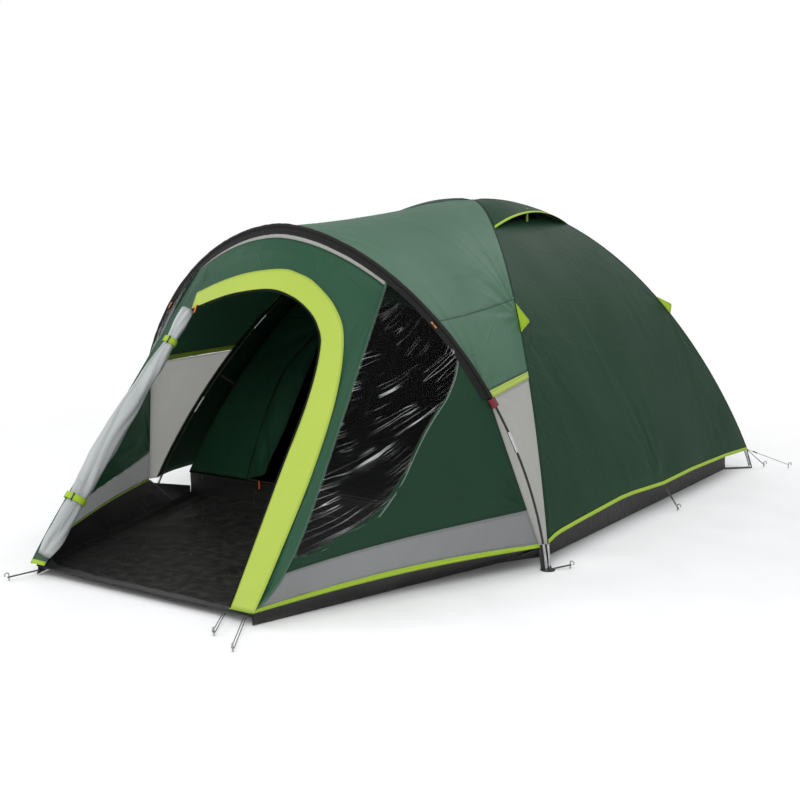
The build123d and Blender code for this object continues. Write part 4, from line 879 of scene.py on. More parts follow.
def buildCrease(side, end, label):  # the narrow bound seam that runs down each crease
    foot = float(mainShare(hemHeight, crownZ))
    line = crease(spread(141) * foot, 1, end, flySeat + creaseSeam["lift"])
    along = unit(np.gradient(line, axis=0))
    across = unit(np.cross(along, np.cross(along, np.array([0, 1.0, 0])) * -1))
    outwardWay = np.cross(along, across)
    outwardWay = outwardWay * np.sign(outwardWay[:, 2:3] + 1e-9)
    grid = np.stack([line + across * creaseSeam["width"] * k - outwardWay * creaseSeam["drop"] * abs(k)
                     for k in (-0.5, -0.2, 0, 0.2, 0.5)], axis=1)
    piece = outwardGrid(f"creaseSeam{label}", flip(grid, side), darkGreen, centre=(0, crownY, 0.0),
                        thickness=0.001)
    dress(piece, "fly_dark_green")


for side in (1, -1):
    for end in (1, -1):
        buildCrease(side, end, f"{'Right' if side > 0 else 'Left'}{'Rear' if end > 0 else 'Front'}")
print("dome done")

vent = {"reach": 0.33, "lift": 0.07, "trim": 0.012, "pull": 0.004,
        "fixed": (0.09, 1.39), "free": (0.34, 1.33)}  # x and height


def ventGrid(xs, ws, extra=0.0):
    x, across = np.broadcast_arrays(xs, ws)
    base = domeGrid(x / halfWidth, across * 0.985, flySeat + 0.0024 + extra)
    reach = np.clip((x - 0.008) / (vent["reach"] - 0.008), 0, 1) ** 1.25
    lift = vent["lift"] * (1 - across**2) * reach
    base[..., 2] += lift * 0.93
    base[..., 0] += lift * 0.1
    return base


def buildVent(side, label):
    ws = spread(81, -1, 1)
    grid = ventGrid(spread(41, 0.03, vent["reach"] - vent["trim"])[:, None], ws[None])
    height = vent["pull"] * rays(grid, (0, crownY, crownZ), 4, 0.2, 3)
    full = crumpled(grid, height, "tblr", 0.03)
    edge = ventGrid(spread(4, vent["reach"] - 0.014, vent["reach"] - 0.001)[:, None], ws[None], 0.001)
    for name, part, material, slot in (
        ("ventHood", full, darkGreen, "fly_dark_green"), ("ventHoodEdge", edge, limeTape, "lime_binding"),
    ):
        part = flip(part, side)
        facing = np.dot(gridNormals(part)[1, 40], np.array([0, 0, 1.0]))
        piece = clothGrid(name + label, part, material, turned=facing < 0, body=None)
        start, finish = ((side * vent[end][0], crownY, vent[end][1]) for end in ("fixed", "free"))
        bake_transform(piece)
        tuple(start)
        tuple(finish)
        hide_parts(f"vent_hood_{label.lower()}")
        if name == "ventHood":
            cutFrom(part)


bothSides(buildVent)

sleeve = {"half": 0.031, "hump": 0.0086, "gap": 0.0105, "lift": 0.0018, "frontLift": 0.0034, "ripple": 0.0008}


def buildSleeve():
    even = spread(401, -1, 1)
    shares = np.sign(even) * (1 - (1 - np.abs(even)) ** 1.15) * sleeveTab
    edge = archEdge(shares)
    centre = archPoint(shares)
    back = towards(edge, creaseLine(shares / stripArch * stripMain))
    size = np.abs(shares)
    rise = archHeight * archRise(size)
    down = np.clip(1 - rise / sideTop, 0, 1)
    front = frontPoint(np.ones_like(size), down + 0.02)
    front[:, 0] *= np.sign(shares + 1e-9)
    top = frontPoint(np.clip(shares / doorTop, -1, 1), np.full_like(shares, 0.06))
    blendTop = np.clip((doorTop - size) / 0.05 + 0.5, 0, 1)[:, None]
    ahead = unit(towards(edge, front) * (1 - blendTop) + towards(edge, top) * blendTop)
    out = towards(edge, centre)
    columns = []
    for w in spread(7, -sleeve["half"], -sleeve["gap"]):
        columns.append(edge + back * -w + out * sleeve["lift"])
    for angle in np.radians(spread(15, -25, 205)):
        columns.append(centre + sleeve["hump"] * (-np.cos(angle) * forwardWay + np.sin(angle) * out))
    for w in spread(7, sleeve["gap"], sleeve["half"]):
        columns.append(edge + ahead * w + out * sleeve["frontLift"])
    grid = np.stack(columns, axis=1)
    ripple = sleeve["ripple"] * valueNoise(shares * 60, shares * 3, 5)[:, None] * np.ones(grid.shape[1])
    grid = grid + out[:, None] * ripple[..., None]
    facing = np.dot(gridNormals(grid)[200, 14], np.array([0, 0, 1.0]))
    piece = clothGrid("archSleeve", grid, blackCloth, turned=facing < 0, thickness=0.001)
    dress(piece, "black_sleeve", "arch_sleeve")
    cutFrom(grid)


buildSleeve()
print("sleeve done")

doorSide = np.array([(-0.466, 0.052), (-0.43, 0.29), (-0.396, 0.52), (-0.362, 0.75), (-0.33, 0.968)])
doorCurve = np.array([
    (-0.330, 0.968), (-0.215, 1.012), (-0.100, 1.046), (0.058, 1.068), (0.170, 1.045), (0.257, 1.000),
    (0.318, 0.945), (0.362, 0.870), (0.400, 0.698), (0.418, 0.440), (0.437, 0.180), (0.446, 0.052),
])
trimCurve = np.array([
    (-0.352, 1.036), (-0.210, 1.092), (-0.067, 1.132), (0.080, 1.150), (0.165, 1.134), (0.240, 1.103),
    (0.352, 1.020), (0.434, 0.909), (0.505, 0.700), (0.545, 0.440), (0.556, 0.180), (0.556, 0.052),
])


def flatCurve(points, count):
    return through([(x, z, 0) for x, z in points], count)[:, :2]


facade = {"folds": 0.006, "press": 0.0025, "facingDrop": 0.0012, "facingDepth": 0.032, "hemShare": 0.988,
          "flat": (1.2, 1.5)}  # rounded: seam to seam and arch to hem


def buildFront():
    opening = np.vstack([flatCurve(doorSide, 61)[:-1], flatCurve(doorCurve, 141)])
    across, down = frontShares(opening[:, 0], opening[:, 1])
    innerShares = np.stack([across, down], -1)
    corners = np.array([(-1, 1), (-1, 0.2), (-1, 0.03), (1, 0.03), (1, 0.2), (1, 1)], float)
    counts = (60, 24, 56, 24, 37)
    outer = [corners[:1]]
    for k, count in enumerate(counts):
        outer.append(corners[k] + (corners[k + 1] - corners[k]) * spread(count + 1)[1:, None])
    outer = np.vstack(outer)[:len(opening)]
    outer[-1] = (1, 1)
    rows = spread(31)[:, None, None]
    shares = innerShares[None] * (1 - rows) + outer[None] * rows
    grid = frontPoint(shares[..., 0], shares[..., 1])
    height = facade["folds"] * foldField(grid[..., 0], grid[..., 2], 80, 0.08, 51)
    height = height + pulls(grid, (
        (frontPoint(1, 1), 0.014, 3), (frontPoint(-1, 1), 0.016, 4), (frontPoint(-1, 0.03), 0.009, 5),
        (frontPoint(1, 0.03), 0.007, 6), (frontAt(np.array(-0.33), np.array(0.968)), 0.008, 9),
    ), 5, 0.25)
    covered = np.clip((0.75 - rows[..., 0]) / 0.1, 0, 1)
    height = height * (1 - covered) - facade["press"] * covered
    fade = edgeFade(grid, 0.05, "tb") * np.clip((1 - shares[..., 1]) / 0.05, 0, 1)
    full = grid + outward(grid, porchMiddle) * (height * fade)[..., None]
    piece = outwardGrid("frontPanel", full, frontGreen, centre=porchMiddle)
    dress(piece, "fly_front_green", "fly_front_panel")
    facing = frontPoint(spread(121, -1, 1)[None], spread(7, 0.0, facade["facingDepth"])[:, None])
    facing = facing - outward(facing, porchMiddle) * facade["facingDrop"]
    panel("porchFacing", facing, sideGrey, ["porch_facing"], "grey_side_cloth", centre=porchMiddle)
    for name, low, high in (("Left", -1.0, float(across[0])), ("Right", float(across[-1]), 1.0)):
        band = frontPoint(spread(21, low, high)[None], spread(4, facade["hemShare"], 1.0)[:, None])
        band = band + outward(band, porchMiddle) * binding["lift"]
        piece = outwardGrid(f"hemBandFront{name}", band, limeTape, centre=porchMiddle,
                            thickness=binding["thick"])
        dress(piece, "lime_binding", "hem_binding")


trim = {"lift": 0.0045, "folds": 0.0025, "ripples": 0.0015, "zipLift": 0.0062}


def buildTrim():
    opening, outer = flatCurve(doorCurve, 161), flatCurve(trimCurve, 161)
    flat = blendRows(opening, outer, 13)
    grid = frontAt(flat[..., 0], flat[..., 1], trim["lift"])
    u, v = flatLengths(grid)
    height = trim["folds"] * foldField(u, v, 70, 0.06, 61) + trim["ripples"] * cloudy(u * 9, v * 9, 5)
    full = crumpled(grid, height, "tb", 0.02, porchMiddle)
    panel("doorTrim", full, limeCloth, ["door_trim"], "lime_trim", centre=porchMiddle)
    way = unit(outer - opening)
    strips = np.stack([opening + way * w for w in (-0.001, 0.0008, 0.0025, 0.0042, 0.006)])
    zipGrid = frontAt(strips[..., 0], strips[..., 1], trim["zipLift"]).transpose(1, 0, 2)
    piece = outwardGrid("doorZip", zipGrid, zipTape, centre=porchMiddle, thickness=0.0012)
    dress(piece, "zip_tape", "door_zip")


buildFront()
buildTrim()
print("front done")

porch = {
    "tape": 0.005, "tapeLift": 0.002, "mudTop": 0.69, "mudRise": 0.195, "mudLow": 0.909, "mudLowRise": 0.079,
    "windowStart": 0.2577, "windowEnd": 0.841, "hemFree": 0.022, "seam": 0.0032,
    "paneFolds": (0.008, 0.006), "panePull": 0.006, "sideFolds": 0.006, "sidePull": 0.012, "mudFolds": 0.004,
}
paneCurve = np.array([
    (-0.226, 0.850), (-0.236, 0.823), (-0.291, 0.731), (-0.431, 0.565), (-0.545, 0.429), (-0.628, 0.354),
    (-0.720, 0.291), (-0.813, 0.260), (-0.968, 0.223), (-1.05, 0.205),
])

paneLine = flatCurve(paneCurve, 121)


def sideRuling(ts, ss, side=1):
    t, s = np.broadcast_arrays(ts, ss)
    back = archEdge(np.minimum(archShare(np.clip(sideTop * (1 - t) + 0.001, 0.001, 1.2)), 0.9999))
    front = frontPoint(np.full_like(t, float(side)), t)
    front[..., 0] *= side
    place = back * (1 - s[..., None]) + front * s[..., None]
    hemFree = np.sin(np.pi * s) * np.clip((t - 0.6) / 0.4, 0, 1) ** 3
    place[..., 2] += porch["hemFree"] * hemFree
    return place


def paneShare(t, side):
    ss = spread(2001)
    place = sideRuling(np.full_like(ss, t), ss, side)
    edgeY = np.interp(place[:, 2], paneLine[::-1, 1], paneLine[::-1, 0])
    ahead = np.flatnonzero(place[:, 1] < edgeY)
    if t > 0.86 or not len(ahead):
        return 1.0
    return float(ss[ahead[0]])


def buildPorchSide(side, label):
    ts = spread(101, 0.0, porch["windowEnd"])
    starts = np.array([paneShare(t, side) if t > porch["windowStart"] else 0.0 for t in ts])
    starts = np.minimum(np.maximum.accumulate(starts), 0.995)
    cols = spread(81)
    pane = sideRuling(ts[:, None], starts[:, None] + (1 - starts[:, None]) * cols[None], side)
    u, v = flatLengths(pane)
    wide, narrow = porch["paneFolds"]
    height = wide * foldField(u, v, 35, 0.09, 71) + narrow * foldField(u, v, -20, 0.06, 72)
    height = height + pulls(pane, ((pane[0, 0], 1, 73), (pane[0, -1], 1, 74)), 4, 0.3, porch["panePull"])
    full = crumpled(pane, height, "tblr", 0.04, porchMiddle)
    panel(f"window{label}", flip(full, side), clearPane, ["windows"], "clear_pvc", thickness=0,
          centre=sideMiddle)
    rows = spread(91, porch["windowStart"], porch["mudTop"] + porch["mudRise"])
    ends = np.array([paneShare(t, side) if t < porch["windowEnd"] else 1.0 for t in rows])
    ends = np.maximum(np.maximum.accumulate(ends), 0.004)
    ss = ends[:, None] * spread(71)[None]
    squeeze = (rows - rows[0]) / (rows[-1] - rows[0])
    drop = porch["mudRise"] * (1 - ss) * squeeze[:, None] ** 2
    green = sideRuling(rows[:, None] - drop, ss, side)
    u, v = flatLengths(green)
    height = porch["sideFolds"] * foldField(u, v, 20, 0.09, 75)
    height = height + porch["sidePull"] * rays(green, green[-1, 0], 5, 0.3, 76)
    height = height + porch["sidePull"] * rays(green, green[-1, -1], 5, 0.25, 77)
    # the porch sides take the darker copy of the light green cloth: painted shade
    panel(f"porchSide{label}", flip(crumpled(green, height, "tblr", 0.04, sideMiddle), side), porchGreenPaintedShade,
          [f"fly_porch_{label.lower()}"], "fly_light_green", thickness=0, centre=sideMiddle)
    beside = rows < porch["windowEnd"]
    line = np.array([sideRuling(np.array(t), np.array(e), side) for t, e in zip(rows[beside], ends[beside])])
    way = unit(np.gradient(line, axis=0))
    normal = np.array([0.93, -0.3, 0.2])
    across = unit(np.cross(way, normal))
    line = line + normal * porch["tapeLift"]
    tape = np.stack([line + across * porch["tape"] * k for k in (-0.5, -0.2, 0.2, 0.5)], 1)
    # the tape along the window's edge, its pale colour in part a painted highlight of the clear sheet
    dress(outwardGrid(f"windowTape{label}", flip(tape, side), windowTapeAndPaintedHighlight, centre=sideMiddle), "clear_pvc")
    across = spread(91)[None]
    tops = porch["mudTop"] + porch["mudRise"] * across
    lows = porch["mudLow"] + porch["mudLowRise"] * across
    mud = sideRuling(tops + (lows - tops) * spread(19)[:, None], across, side)
    u, v = flatLengths(mud)
    height = porch["mudFolds"] * foldField(u, v, 75, 0.05, 78)
    panel(f"mudStrip{label}", flip(crumpled(mud, height, "lr", 0.04, sideMiddle), side), greyCloth,
          ["mud_strips"], "grey_mud_cloth", thickness=0, centre=sideMiddle)
    along = spread(61)[None]
    tops = porch["mudLow"] - 0.003 + porch["mudLowRise"] * along
    band = sideRuling(tops + (1 - tops) * spread(5)[:, None], along, side)
    band = band + outward(band, sideMiddle) * binding["over"]
    piece = outwardGrid(f"hemBandPorch{label}", flip(band, side), limeTape, centre=sideMiddle,
                        thickness=binding["thick"])
    dress(piece, "lime_binding", "hem_binding")
    seam = frontPoint(np.full(121, float(side)), spread(121))
    seam[:, 0] *= side
    dress(sweepTube(f"porchSeam{label}", flip(seam, side), porch["seam"], lightGreen, 10), "fly_light_green")


bothSides(buildPorchSide)
print("porch done")

roll = {
    "top": (-0.310, 0.950), "foot": (-0.448, 0.090), "turns": 3.6, "seat": 0.0052, "ties": (0.13, 0.8),
    "places": (0, 0.13, 0.5, 0.8, 1), "radii": (0.029, 0.027, 0.047, 0.043, 0.036), "tieWidth": 0.022,
    "flat": (0.82, 0.97), "area": 0.6,
}
toggle = {"half": 0.015, "radius": 0.0028, "swell": 0.0009, "loop": 0.006, "cord": 0.0011}


def frontNormal(x, z):
    return frontAt(np.array(x), np.array(z), 1.0) - frontAt(np.array(x), np.array(z))


def rollLine(shares):
    shares = np.asarray(shares, float)
    x = roll["top"][0] + (roll["foot"][0] - roll["top"][0]) * shares
    z = roll["top"][1] + (roll["foot"][1] - roll["top"][1]) * shares
    radius = np.interp(shares, roll["places"], roll["radii"])
    return frontAt(x, z, radius + roll["seat"]), radius


def addToggle(name, middle, way, material):  # a short round toggle with swollen ends
    along = spread(17, -toggle["half"], toggle["half"])
    radius = toggle["radius"] + toggle["swell"] * (np.abs(along) / toggle["half"]) ** 3
    radius = np.concatenate([[0.0005], radius, [0.0005]])
    along = np.concatenate([[along[0]], along, [along[-1]]]) + spread(19, -1e-5, 1e-5)
    piece = sweepTube(name, np.array(middle) + np.array(way) * along[:, None], radius, material, 16)
    dress(piece, "black_plastic", "toggles")


def addArchToggle(side, label):
    shares = ((0.16, 0), (0.16, 1), (0.18, 0))
    back, ahead, lower = (sideRuling(np.array(down), np.array(across), side) for down, across in shares)
    along = towards(back, ahead)
    normal = np.cross(along, towards(back, lower))
    normal = normal / np.linalg.norm(normal) * np.sign(normal[0])
    place = back + along * 0.020 + normal * 0.009
    addToggle(f"archToggle{label}", flip(place, side), flip(towards(back, lower), side), brass)
    turn = (spread(21) * 2 * np.pi)[:, None]
    ring = place + toggle["loop"] * (np.cos(turn) * along + np.sin(turn) * normal)
    dress(sweepTube(f"archToggleLoop{label}", flip(ring, side), toggle["cord"], elastic, 8), "elastic")


def buildRoll():
    shares = spread(161, -0.01, 1.02)
    line, radius = rollLine(shares)
    tied = sum(np.exp(-((shares - place) / 0.045) ** 2) for place in roll["ties"])
    radius = radius * (1 - 0.16 * tied) + 0.0022 * np.sin(shares * 34) * (1 - tied)
    radius = radius * (1 - 0.25 * np.clip((shares - 0.93) / 0.09, 0, 1) ** 2)
    way = unit(np.gradient(line, axis=0))
    side = unit(np.cross(way, np.array([0, 0, 1.0])))
    other = np.cross(way, side)
    angle = spread(220, 0, 2 * np.pi * roll["turns"])
    part = angle / angle[-1]
    grid = []
    for k, share in enumerate(shares):
        ripple = 1 + 0.06 * np.sin(3 * angle + 2.2 * np.sin(share * 9)) * (0.4 + share)
        ripple = ripple + 0.035 * np.sin(7 * angle - 3 * np.sin(share * 13))
        spiral = radius[k] * (0.10 + 0.90 * part ** 0.8) * ripple
        spiral = spiral * (1 + 0.05 * valueNoise(angle * 1.1, angle * 0 + share * 14, 81) * part)
        turn = angle + 0.5 + 0.35 * np.sin(share * 6)
        turned = np.cos(turn)[:, None] * side[k] + np.sin(turn)[:, None] * other[k]
        grid.append(line[k] + spiral[:, None] * turned)
    piece = clothGrid("rolledDoor", np.array(grid), liningGrey, thickness=0.0007)
    dress(piece, "rolled_lining", "rolled_door")
    for number, place in enumerate(roll["ties"]):
        rows = spread(9, -roll["tieWidth"] / 2, roll["tieWidth"] / 2)
        centre, size = rollLine(place + rows / 0.94)
        around = spread(49, 0, 2 * np.pi)[None, :, None]
        k = int(np.argmin(np.abs(shares - place)))
        ring = size.mean() * 0.92 + 0.0025
        band = centre[:, None] + ring * (np.cos(around) * side[k] + np.sin(around) * other[k])
        dress(clothGrid(f"doorTie{number}", band, limeTape, thickness=0.0016), "lime_trim", "door_ties")
        out = frontNormal(-0.4, 0.5) * 0.5 + np.array([0.6, -0.6, 0])
        out = out - way[k] * (out @ way[k])
        middle = line[k] + out / np.linalg.norm(out) * (ring + 0.0035)
        addToggle(f"tieToggle{number}", middle, way[k], plastic)


plastic = solidSurface("plastic", rgb(16, 16, 17), rgb(48, 48, 48), rough=0.35, grain=120)
brass = solidSurface("brass", rgb(206, 130, 58), rgb(150, 92, 40), rough=0.4, grain=120, bump=0.0001)
elastic = solidSurface("elastic", rgb(30, 30, 30), rgb(90, 90, 88), rough=0.7, ribs=260.0)
buildRoll()
bothSides(addArchToggle)

inner = {"folds": 0.010, "ripples": 0.006, "trim": 0.0034, "thick": 0.0006}


# a point of the inner tent's front or rear wall at this x and height
def innerPoint(x, height, forward=True):
    share = mainShare(height, innerCrownZ)
    reach = -innerFront if forward else innerRear
    return stack(x, crownY + reach * share, height)


def innerEdgeX(height):
    return innerHalf * mainShare(height, innerCrownZ)


innerSide = np.array([(-0.600, 0.118), (-0.588, 0.25), (-0.545, 0.56), (-0.455, 0.73), (-0.33, 0.85)])
innerFar = np.array([
    (-0.33, 0.85), (-0.20, 0.905), (-0.02, 0.925), (0.16, 0.885), (0.30, 0.80), (0.39, 0.66), (0.43, 0.48),
    (0.44, 0.118),
])


def innerPanel(name, grid, material, replaced, seed, size=1.0):
    u, v = flatLengths(grid)
    height = inner["folds"] * size * foldField(u, v, 80, 0.11, seed)
    height = height + inner["ripples"] * cloudy(u * 7, v * 7, seed + 1)
    full = crumpled(grid, height, "tblr", 0.06, bedMiddle)
    full[..., 2] = np.clip(full[..., 2], tubTop + 0.001, None)
    panel(name, full, material, [replaced], "inner_black_cloth", centre=bedMiddle, thickness=inner["thick"])


def buildInner():
    heights = innerCrownZ * mainRise(spread(91, 0.003, float(mainShare(tubTop, innerCrownZ))))[:, None]
    grid = innerPoint(spread(91, -1, 1)[None] * innerEdgeX(heights), heights, False)
    innerPanel("innerRear", grid, innerCloth, "inner_rear_wall", 91)
    share = mainShare(heights, innerCrownZ)
    for side, label in ((1, "Right"), (-1, "Left")):
        y = crownY - innerFront * share + (innerFront + innerRear) * share * spread(91)[None]
        grid = stack(innerHalf * share * side, y, heights)
        innerPanel(f"innerSide{label}", grid, innerCloth, f"inner_wall_{label.lower()}", 93)
    left = flatCurve(innerSide, 61)
    far = flatCurve(innerFar, 101)
    drop, crest = far[far[:, 1] < 0.80], far[far[:, 1] >= 0.795]
    strips = []
    outerLeft, outerRight = (-innerEdgeX(left[:, 1]), left[:, 1]), (innerEdgeX(drop[:, 1]), drop[:, 1])
    for pair in ((outerLeft, left.T), (drop.T, outerRight)):
        start, finish = (stack(x, 0.0, z) for x, z in pair)
        strips.append(blendRows(start, finish, 31).transpose(1, 0, 2))
    tops, grid = spread(61), []
    for f in tops:
        ends = [innerCrownZ * float(mainRise(f * float(mainShare(edge, innerCrownZ))))
                for edge in (float(left[-1, 1]), float(drop[0, 1]))]
        count = len(crest) + 60
        across = spread(count, -float(innerEdgeX(ends[0])), float(innerEdgeX(ends[1])))
        grid.append(stack(across, 0.0, spread(count, ends[0], ends[1])))
    grid = np.array(grid)
    foot = grid[-1].copy()
    inside = (foot[:, 0] > crest[0, 0]) & (foot[:, 0] < crest[-1, 0])
    arch = np.where(inside, np.interp(foot[:, 0], crest[:, 0], crest[:, 1]), foot[:, 2])
    grid[..., 2] += (arch - foot[:, 2])[None] * (tops[:, None] ** 3)
    # the left and top parts of the front wall take the green-lit copy of the black inner cloth: painted light
    for name, flat, seed, material in (
        ("Left", strips[0], 95, innerClothPaintedGreenLight), ("Right", strips[1], 97, innerCloth),
        ("Top", grid, 99, innerClothPaintedGreenLight),
    ):
        wall = innerPoint(flat[..., 0], flat[..., 2])
        innerPanel(f"innerFront{name}", wall, material, "inner_front_wall", seed, size=0.8)
    for name, line in (("innerTrimSide", innerSide), ("innerTrimFar", innerFar)):
        flat = flatCurve(line, 121)
        path = innerPoint(flat[:, 0], flat[:, 1]) + np.array([0, -0.003, 0.001])
        dress(sweepTube(name, path, inner["trim"], innerCloth, 8), "inner_black_cloth")


flap = {
    "bulge": 0.030, "folds": 0.012, "ripples": 0.006,
    "loose": ((-0.372, 0.440, 0.806), (-0.396, 0.395, 0.680), (-0.420, 0.300, 0.500), (-0.442, 0.232, 0.356),
              (-0.478, 0.190, 0.240), (-0.508, 0.165, 0.150)),
}


def buildFlap():  # the inner door, gathered to the side: a wrinkled flap that hangs from the opening's edge
    side = flatCurve(innerSide, 81)[::-1]
    hanging = innerPoint(side[:, 0], side[:, 1]) + np.array([0, -0.004, 0])
    loose = through(flap["loose"], 81)
    grid = blendRows(hanging, loose, 41)
    across, down = (np.sin(np.pi * spread(count)) for count in (41, 81))
    grid[..., 1] -= flap["bulge"] * across[:, None] * down[None] ** 0.5
    u, v = flatLengths(grid)
    height = flap["folds"] * foldField(u, v, 8, 0.035, 101, 0.8)
    height = height + flap["ripples"] * foldField(u, v, 30, 0.05, 103)
    full = grid + outward(grid, bedMiddle) * (height * edgeFade(grid, 0.02, "t"))[..., None]
    # the flap takes the green-lit copy of the black inner cloth: painted light
    panel("innerFlap", full, innerClothPaintedGreenLight, ["inner_door_flap"], "inner_black_cloth", centre=bedMiddle,
          thickness=inner["thick"])


buildInner()
buildFlap()
print("inner tent done")

tub = {"corner": 0.014, "bulge": 0.006, "foot": 0.003, "seam": 0.0028, "thick": 0.001, "bed": 0.006,
       "creases": 0.005}


def ringPath(corners, radius):  # a closed path round a plan with rounded corners
    corners = np.array(corners, float)
    points = []
    for k, corner in enumerate(corners):
        before, after = corners[k - 1] - corner, corners[(k + 1) % len(corners)] - corner
        start = corner + before / np.linalg.norm(before) * radius
        finish = corner + after / np.linalg.norm(after) * radius
        for t in spread(6):
            points.append((1 - t) ** 2 * start + 2 * t * (1 - t) * corner + t * t * finish)
        ahead = corners[(k + 1) % len(corners)] - after / np.linalg.norm(after) * radius
        for t in spread(61)[1:-1]:
            points.append(finish + (ahead - finish) * t)
    points.append(points[0])
    return np.array(points)


def buildTubs():
    x, y0, y1 = tubHigh[0], tubLow[1], tubHigh[1]
    path = ringPath([(x, y0), (x, y1), (-x, y1), (-x, y0)], tub["corner"])
    inward = unit(np.array([0, (y0 + y1) / 2]) - path)
    rows = []
    for f in spread(15):
        uneven = 0.5 + 0.5 * valueNoise(path[:, 0] * 6, path[:, 1] * 6 + f * 3, 111)
        swell = tub["bulge"] * np.sin(np.pi * f) * uneven
        z = tub["foot"] + (tubTop - tub["foot"]) * f
        rows.append(np.column_stack([path + inward * (0.002 + swell)[:, None], np.full(len(path), z)]))
    dress(clothGrid("tubWalls", np.array(rows), tubSheet, thickness=tub["thick"]), "tub_sheet", "inner_tub")
    xs, ys = spread(121, -x + 0.002, x - 0.002), spread(121, y0 + 0.002, y1 - 0.002)
    bed = stack(xs[None], ys[:, None], 0.0)
    bed[..., 2] = tub["bed"] + tub["creases"] * np.abs(cloudy(bed[..., 0] * 5, bed[..., 1] * 5, 113))
    panel("tubFloor", bed, floorSheet, ["inner_tub"], "tub_sheet")
    rim = np.column_stack([path + inward * 0.002, np.full(len(path), tubTop)])
    dress(sweepTube("tubSeam", rim, tub["seam"], tubSheet, 8), "tub_sheet")


porchFloor = {
    "front": -1.182, "half": 0.532, "lip": 0.034, "top": 0.042, "low": 0.004, "folds": (0.010, 0.008),
    "creases": 0.006, "hem": 0.95, "hemRise": 0.03, "slack": 0.016, "sillRise": 0.0015,
}


def buildPorchFloor():
    front, back = porchFloor["front"], tubLow[1] - 0.001
    halfFront, halfBack = porchFloor["half"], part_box("porch_groundsheet")[1][0] - 0.004
    rows, cols = spread(101), spread(101, -1, 1)
    y = front + (back - front) * rows[:, None]
    half = halfFront + (halfBack - halfFront) * rows[:, None]
    grid = stack(half * cols[None], y, 0.0)
    u, v = flatLengths(grid)
    wide, narrow = porchFloor["folds"]
    folds = wide * np.abs(foldField(u, v, 25, 0.16, 121)) + narrow * np.abs(foldField(u, v, 100, 0.13, 122))
    folds = folds + porchFloor["creases"] * np.abs(cloudy(u * 5, v * 5, 123))
    sideGap = (1 - np.abs(cols)[None]) * half
    lip = np.maximum(np.exp(-sideGap / 0.022), np.exp(-(y - front) / 0.03) * 0.9)
    rise = folds * np.clip(sideGap / 0.04, 0, 1) * (1 - lip) + porchFloor["lip"] * lip
    grid[..., 2] = np.minimum(porchFloor["low"] + rise, porchFloor["top"])
    panel("porchFloor", grid, floorSheet, ["porch_groundsheet"], "tub_sheet",
          centre=farBelow)
    for side, label in ((1, "Right"), (-1, "Left")):
        share = spread(81)
        hem = sideRuling(porchFloor["hem"] + porchFloor["hemRise"] * share, share, side)
        hem[:, 0] -= 0.004
        along = (back - hem[:, 1]) / (back - front)
        foot = stack(halfBack + (halfFront - halfBack) * along, hem[:, 1], 0.002)
        foot[:, 0] = np.minimum(foot[:, 0], hem[:, 0] - 0.002)
        foot[:, 1] = np.maximum(foot[:, 1], front)
        wall = blendRows(hem, foot, 15)
        uneven = 0.6 + 0.4 * valueNoise(share * 9, share * 0, 125)
        wall[..., 0] -= porchFloor["slack"] * np.sin(np.pi * spread(15))[:, None] * uneven[None]
        panel(f"porchFloorSide{label}", flip(wall, side), tubSheet, ["porch_groundsheet"], "tub_sheet",
              centre=floorMiddle)
        rear = np.array([tubHigh[0] - 0.004, tubLow[1] + 0.004, 0.0])
        top = hem[0] - np.array([0.01, 0, 0.012])
        upper = top + (rear + np.array([0, 0, 0.045]) - top) * spread(25)[:, None]
        lower = foot[0] + (rear + np.array([0, 0, 0.003]) - foot[0]) * spread(25)[:, None]
        skirt = blendRows(upper, lower, 15)
        panel(f"porchFloorRear{label}", flip(skirt, side), tubSheet, ["porch_groundsheet"], "tub_sheet",
              centre=floorMiddle)
    # a lighter strip laid over the front rows of the porch floor: painted light on the black turned-up lip
    strip = grid[:9, :].copy()
    strip[..., 2] += porchFloor["sillRise"]
    panel("porchSill", strip, sillSheetPaintedLight, [], "tub_sheet", declare=False, centre=farBelow)


# painted light: a mid-grey copy of the black groundsheet, for the strip where light falls on the porch
# floor's front lip
sillSheetPaintedLight = fabric("sillSheetPaintedLight", rgb(72, 72, 72), rgb(48, 48, 48), rough=0.5, shine=0.3, throughLight=0.0,
                   bump=0.002, threads=400.0, dustTop=0.02)
buildTubs()
buildPorchFloor()
print("groundsheets done")

tab = {"thick": 0.0018, "cut": 0.93, "frontTip": (0.721, 0.4155, 0.916), "rearTip": (0.034, 0.034, 0.004),
       "places": (("Front", 0.5775, 0.6505, -1), ("Rear", 0.621, 0.6775, 1))}


def buildTabs(side, label):
    for name, low, high, end in tab["places"]:
        start, finish = crease(low, 1, end), crease(high, 1, end)
        tip = crease((low + high) / 2, 1, end) + np.array(tab["rearTip"])
        if end < 0:
            tip = np.array(tab["frontTip"])
        tip[0] = min(tip[0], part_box("guy_tabs")[1][0] + 0.02)
        cols = spread(13)[:, None]
        edge = start * (1 - cols) + finish * cols
        grid = np.array([edge * (1 - r * tab["cut"]) + tip * r * tab["cut"] for r in spread(13)])
        piece = clothGrid(f"guyTab{name}{label}", flip(grid, side), limeTape, thickness=tab["thick"])
        dress(piece, "lime_trim", "guy_tabs")


bothSides(buildTabs)


def strand(name, points, diameter, material):
    curve = bpy.data.curves.new(name, "CURVE")
    curve.dimensions = "3D"
    curve.bevel_depth = diameter / 2
    curve.bevel_resolution = 3
    spline = curve.splines.new("NURBS")
    spline.points.add(len(points) - 1)
    for place, knot in zip(points, spline.points):
        knot.co = (*place, 1)
    spline.order_u = 3
    spline.use_endpoint_u = True
    curve.materials.append(material)
    piece = bpy.data.objects.new(name, curve)
    bpy.context.scene.collection.objects.link(piece)
    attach(piece, "root")
    return piece


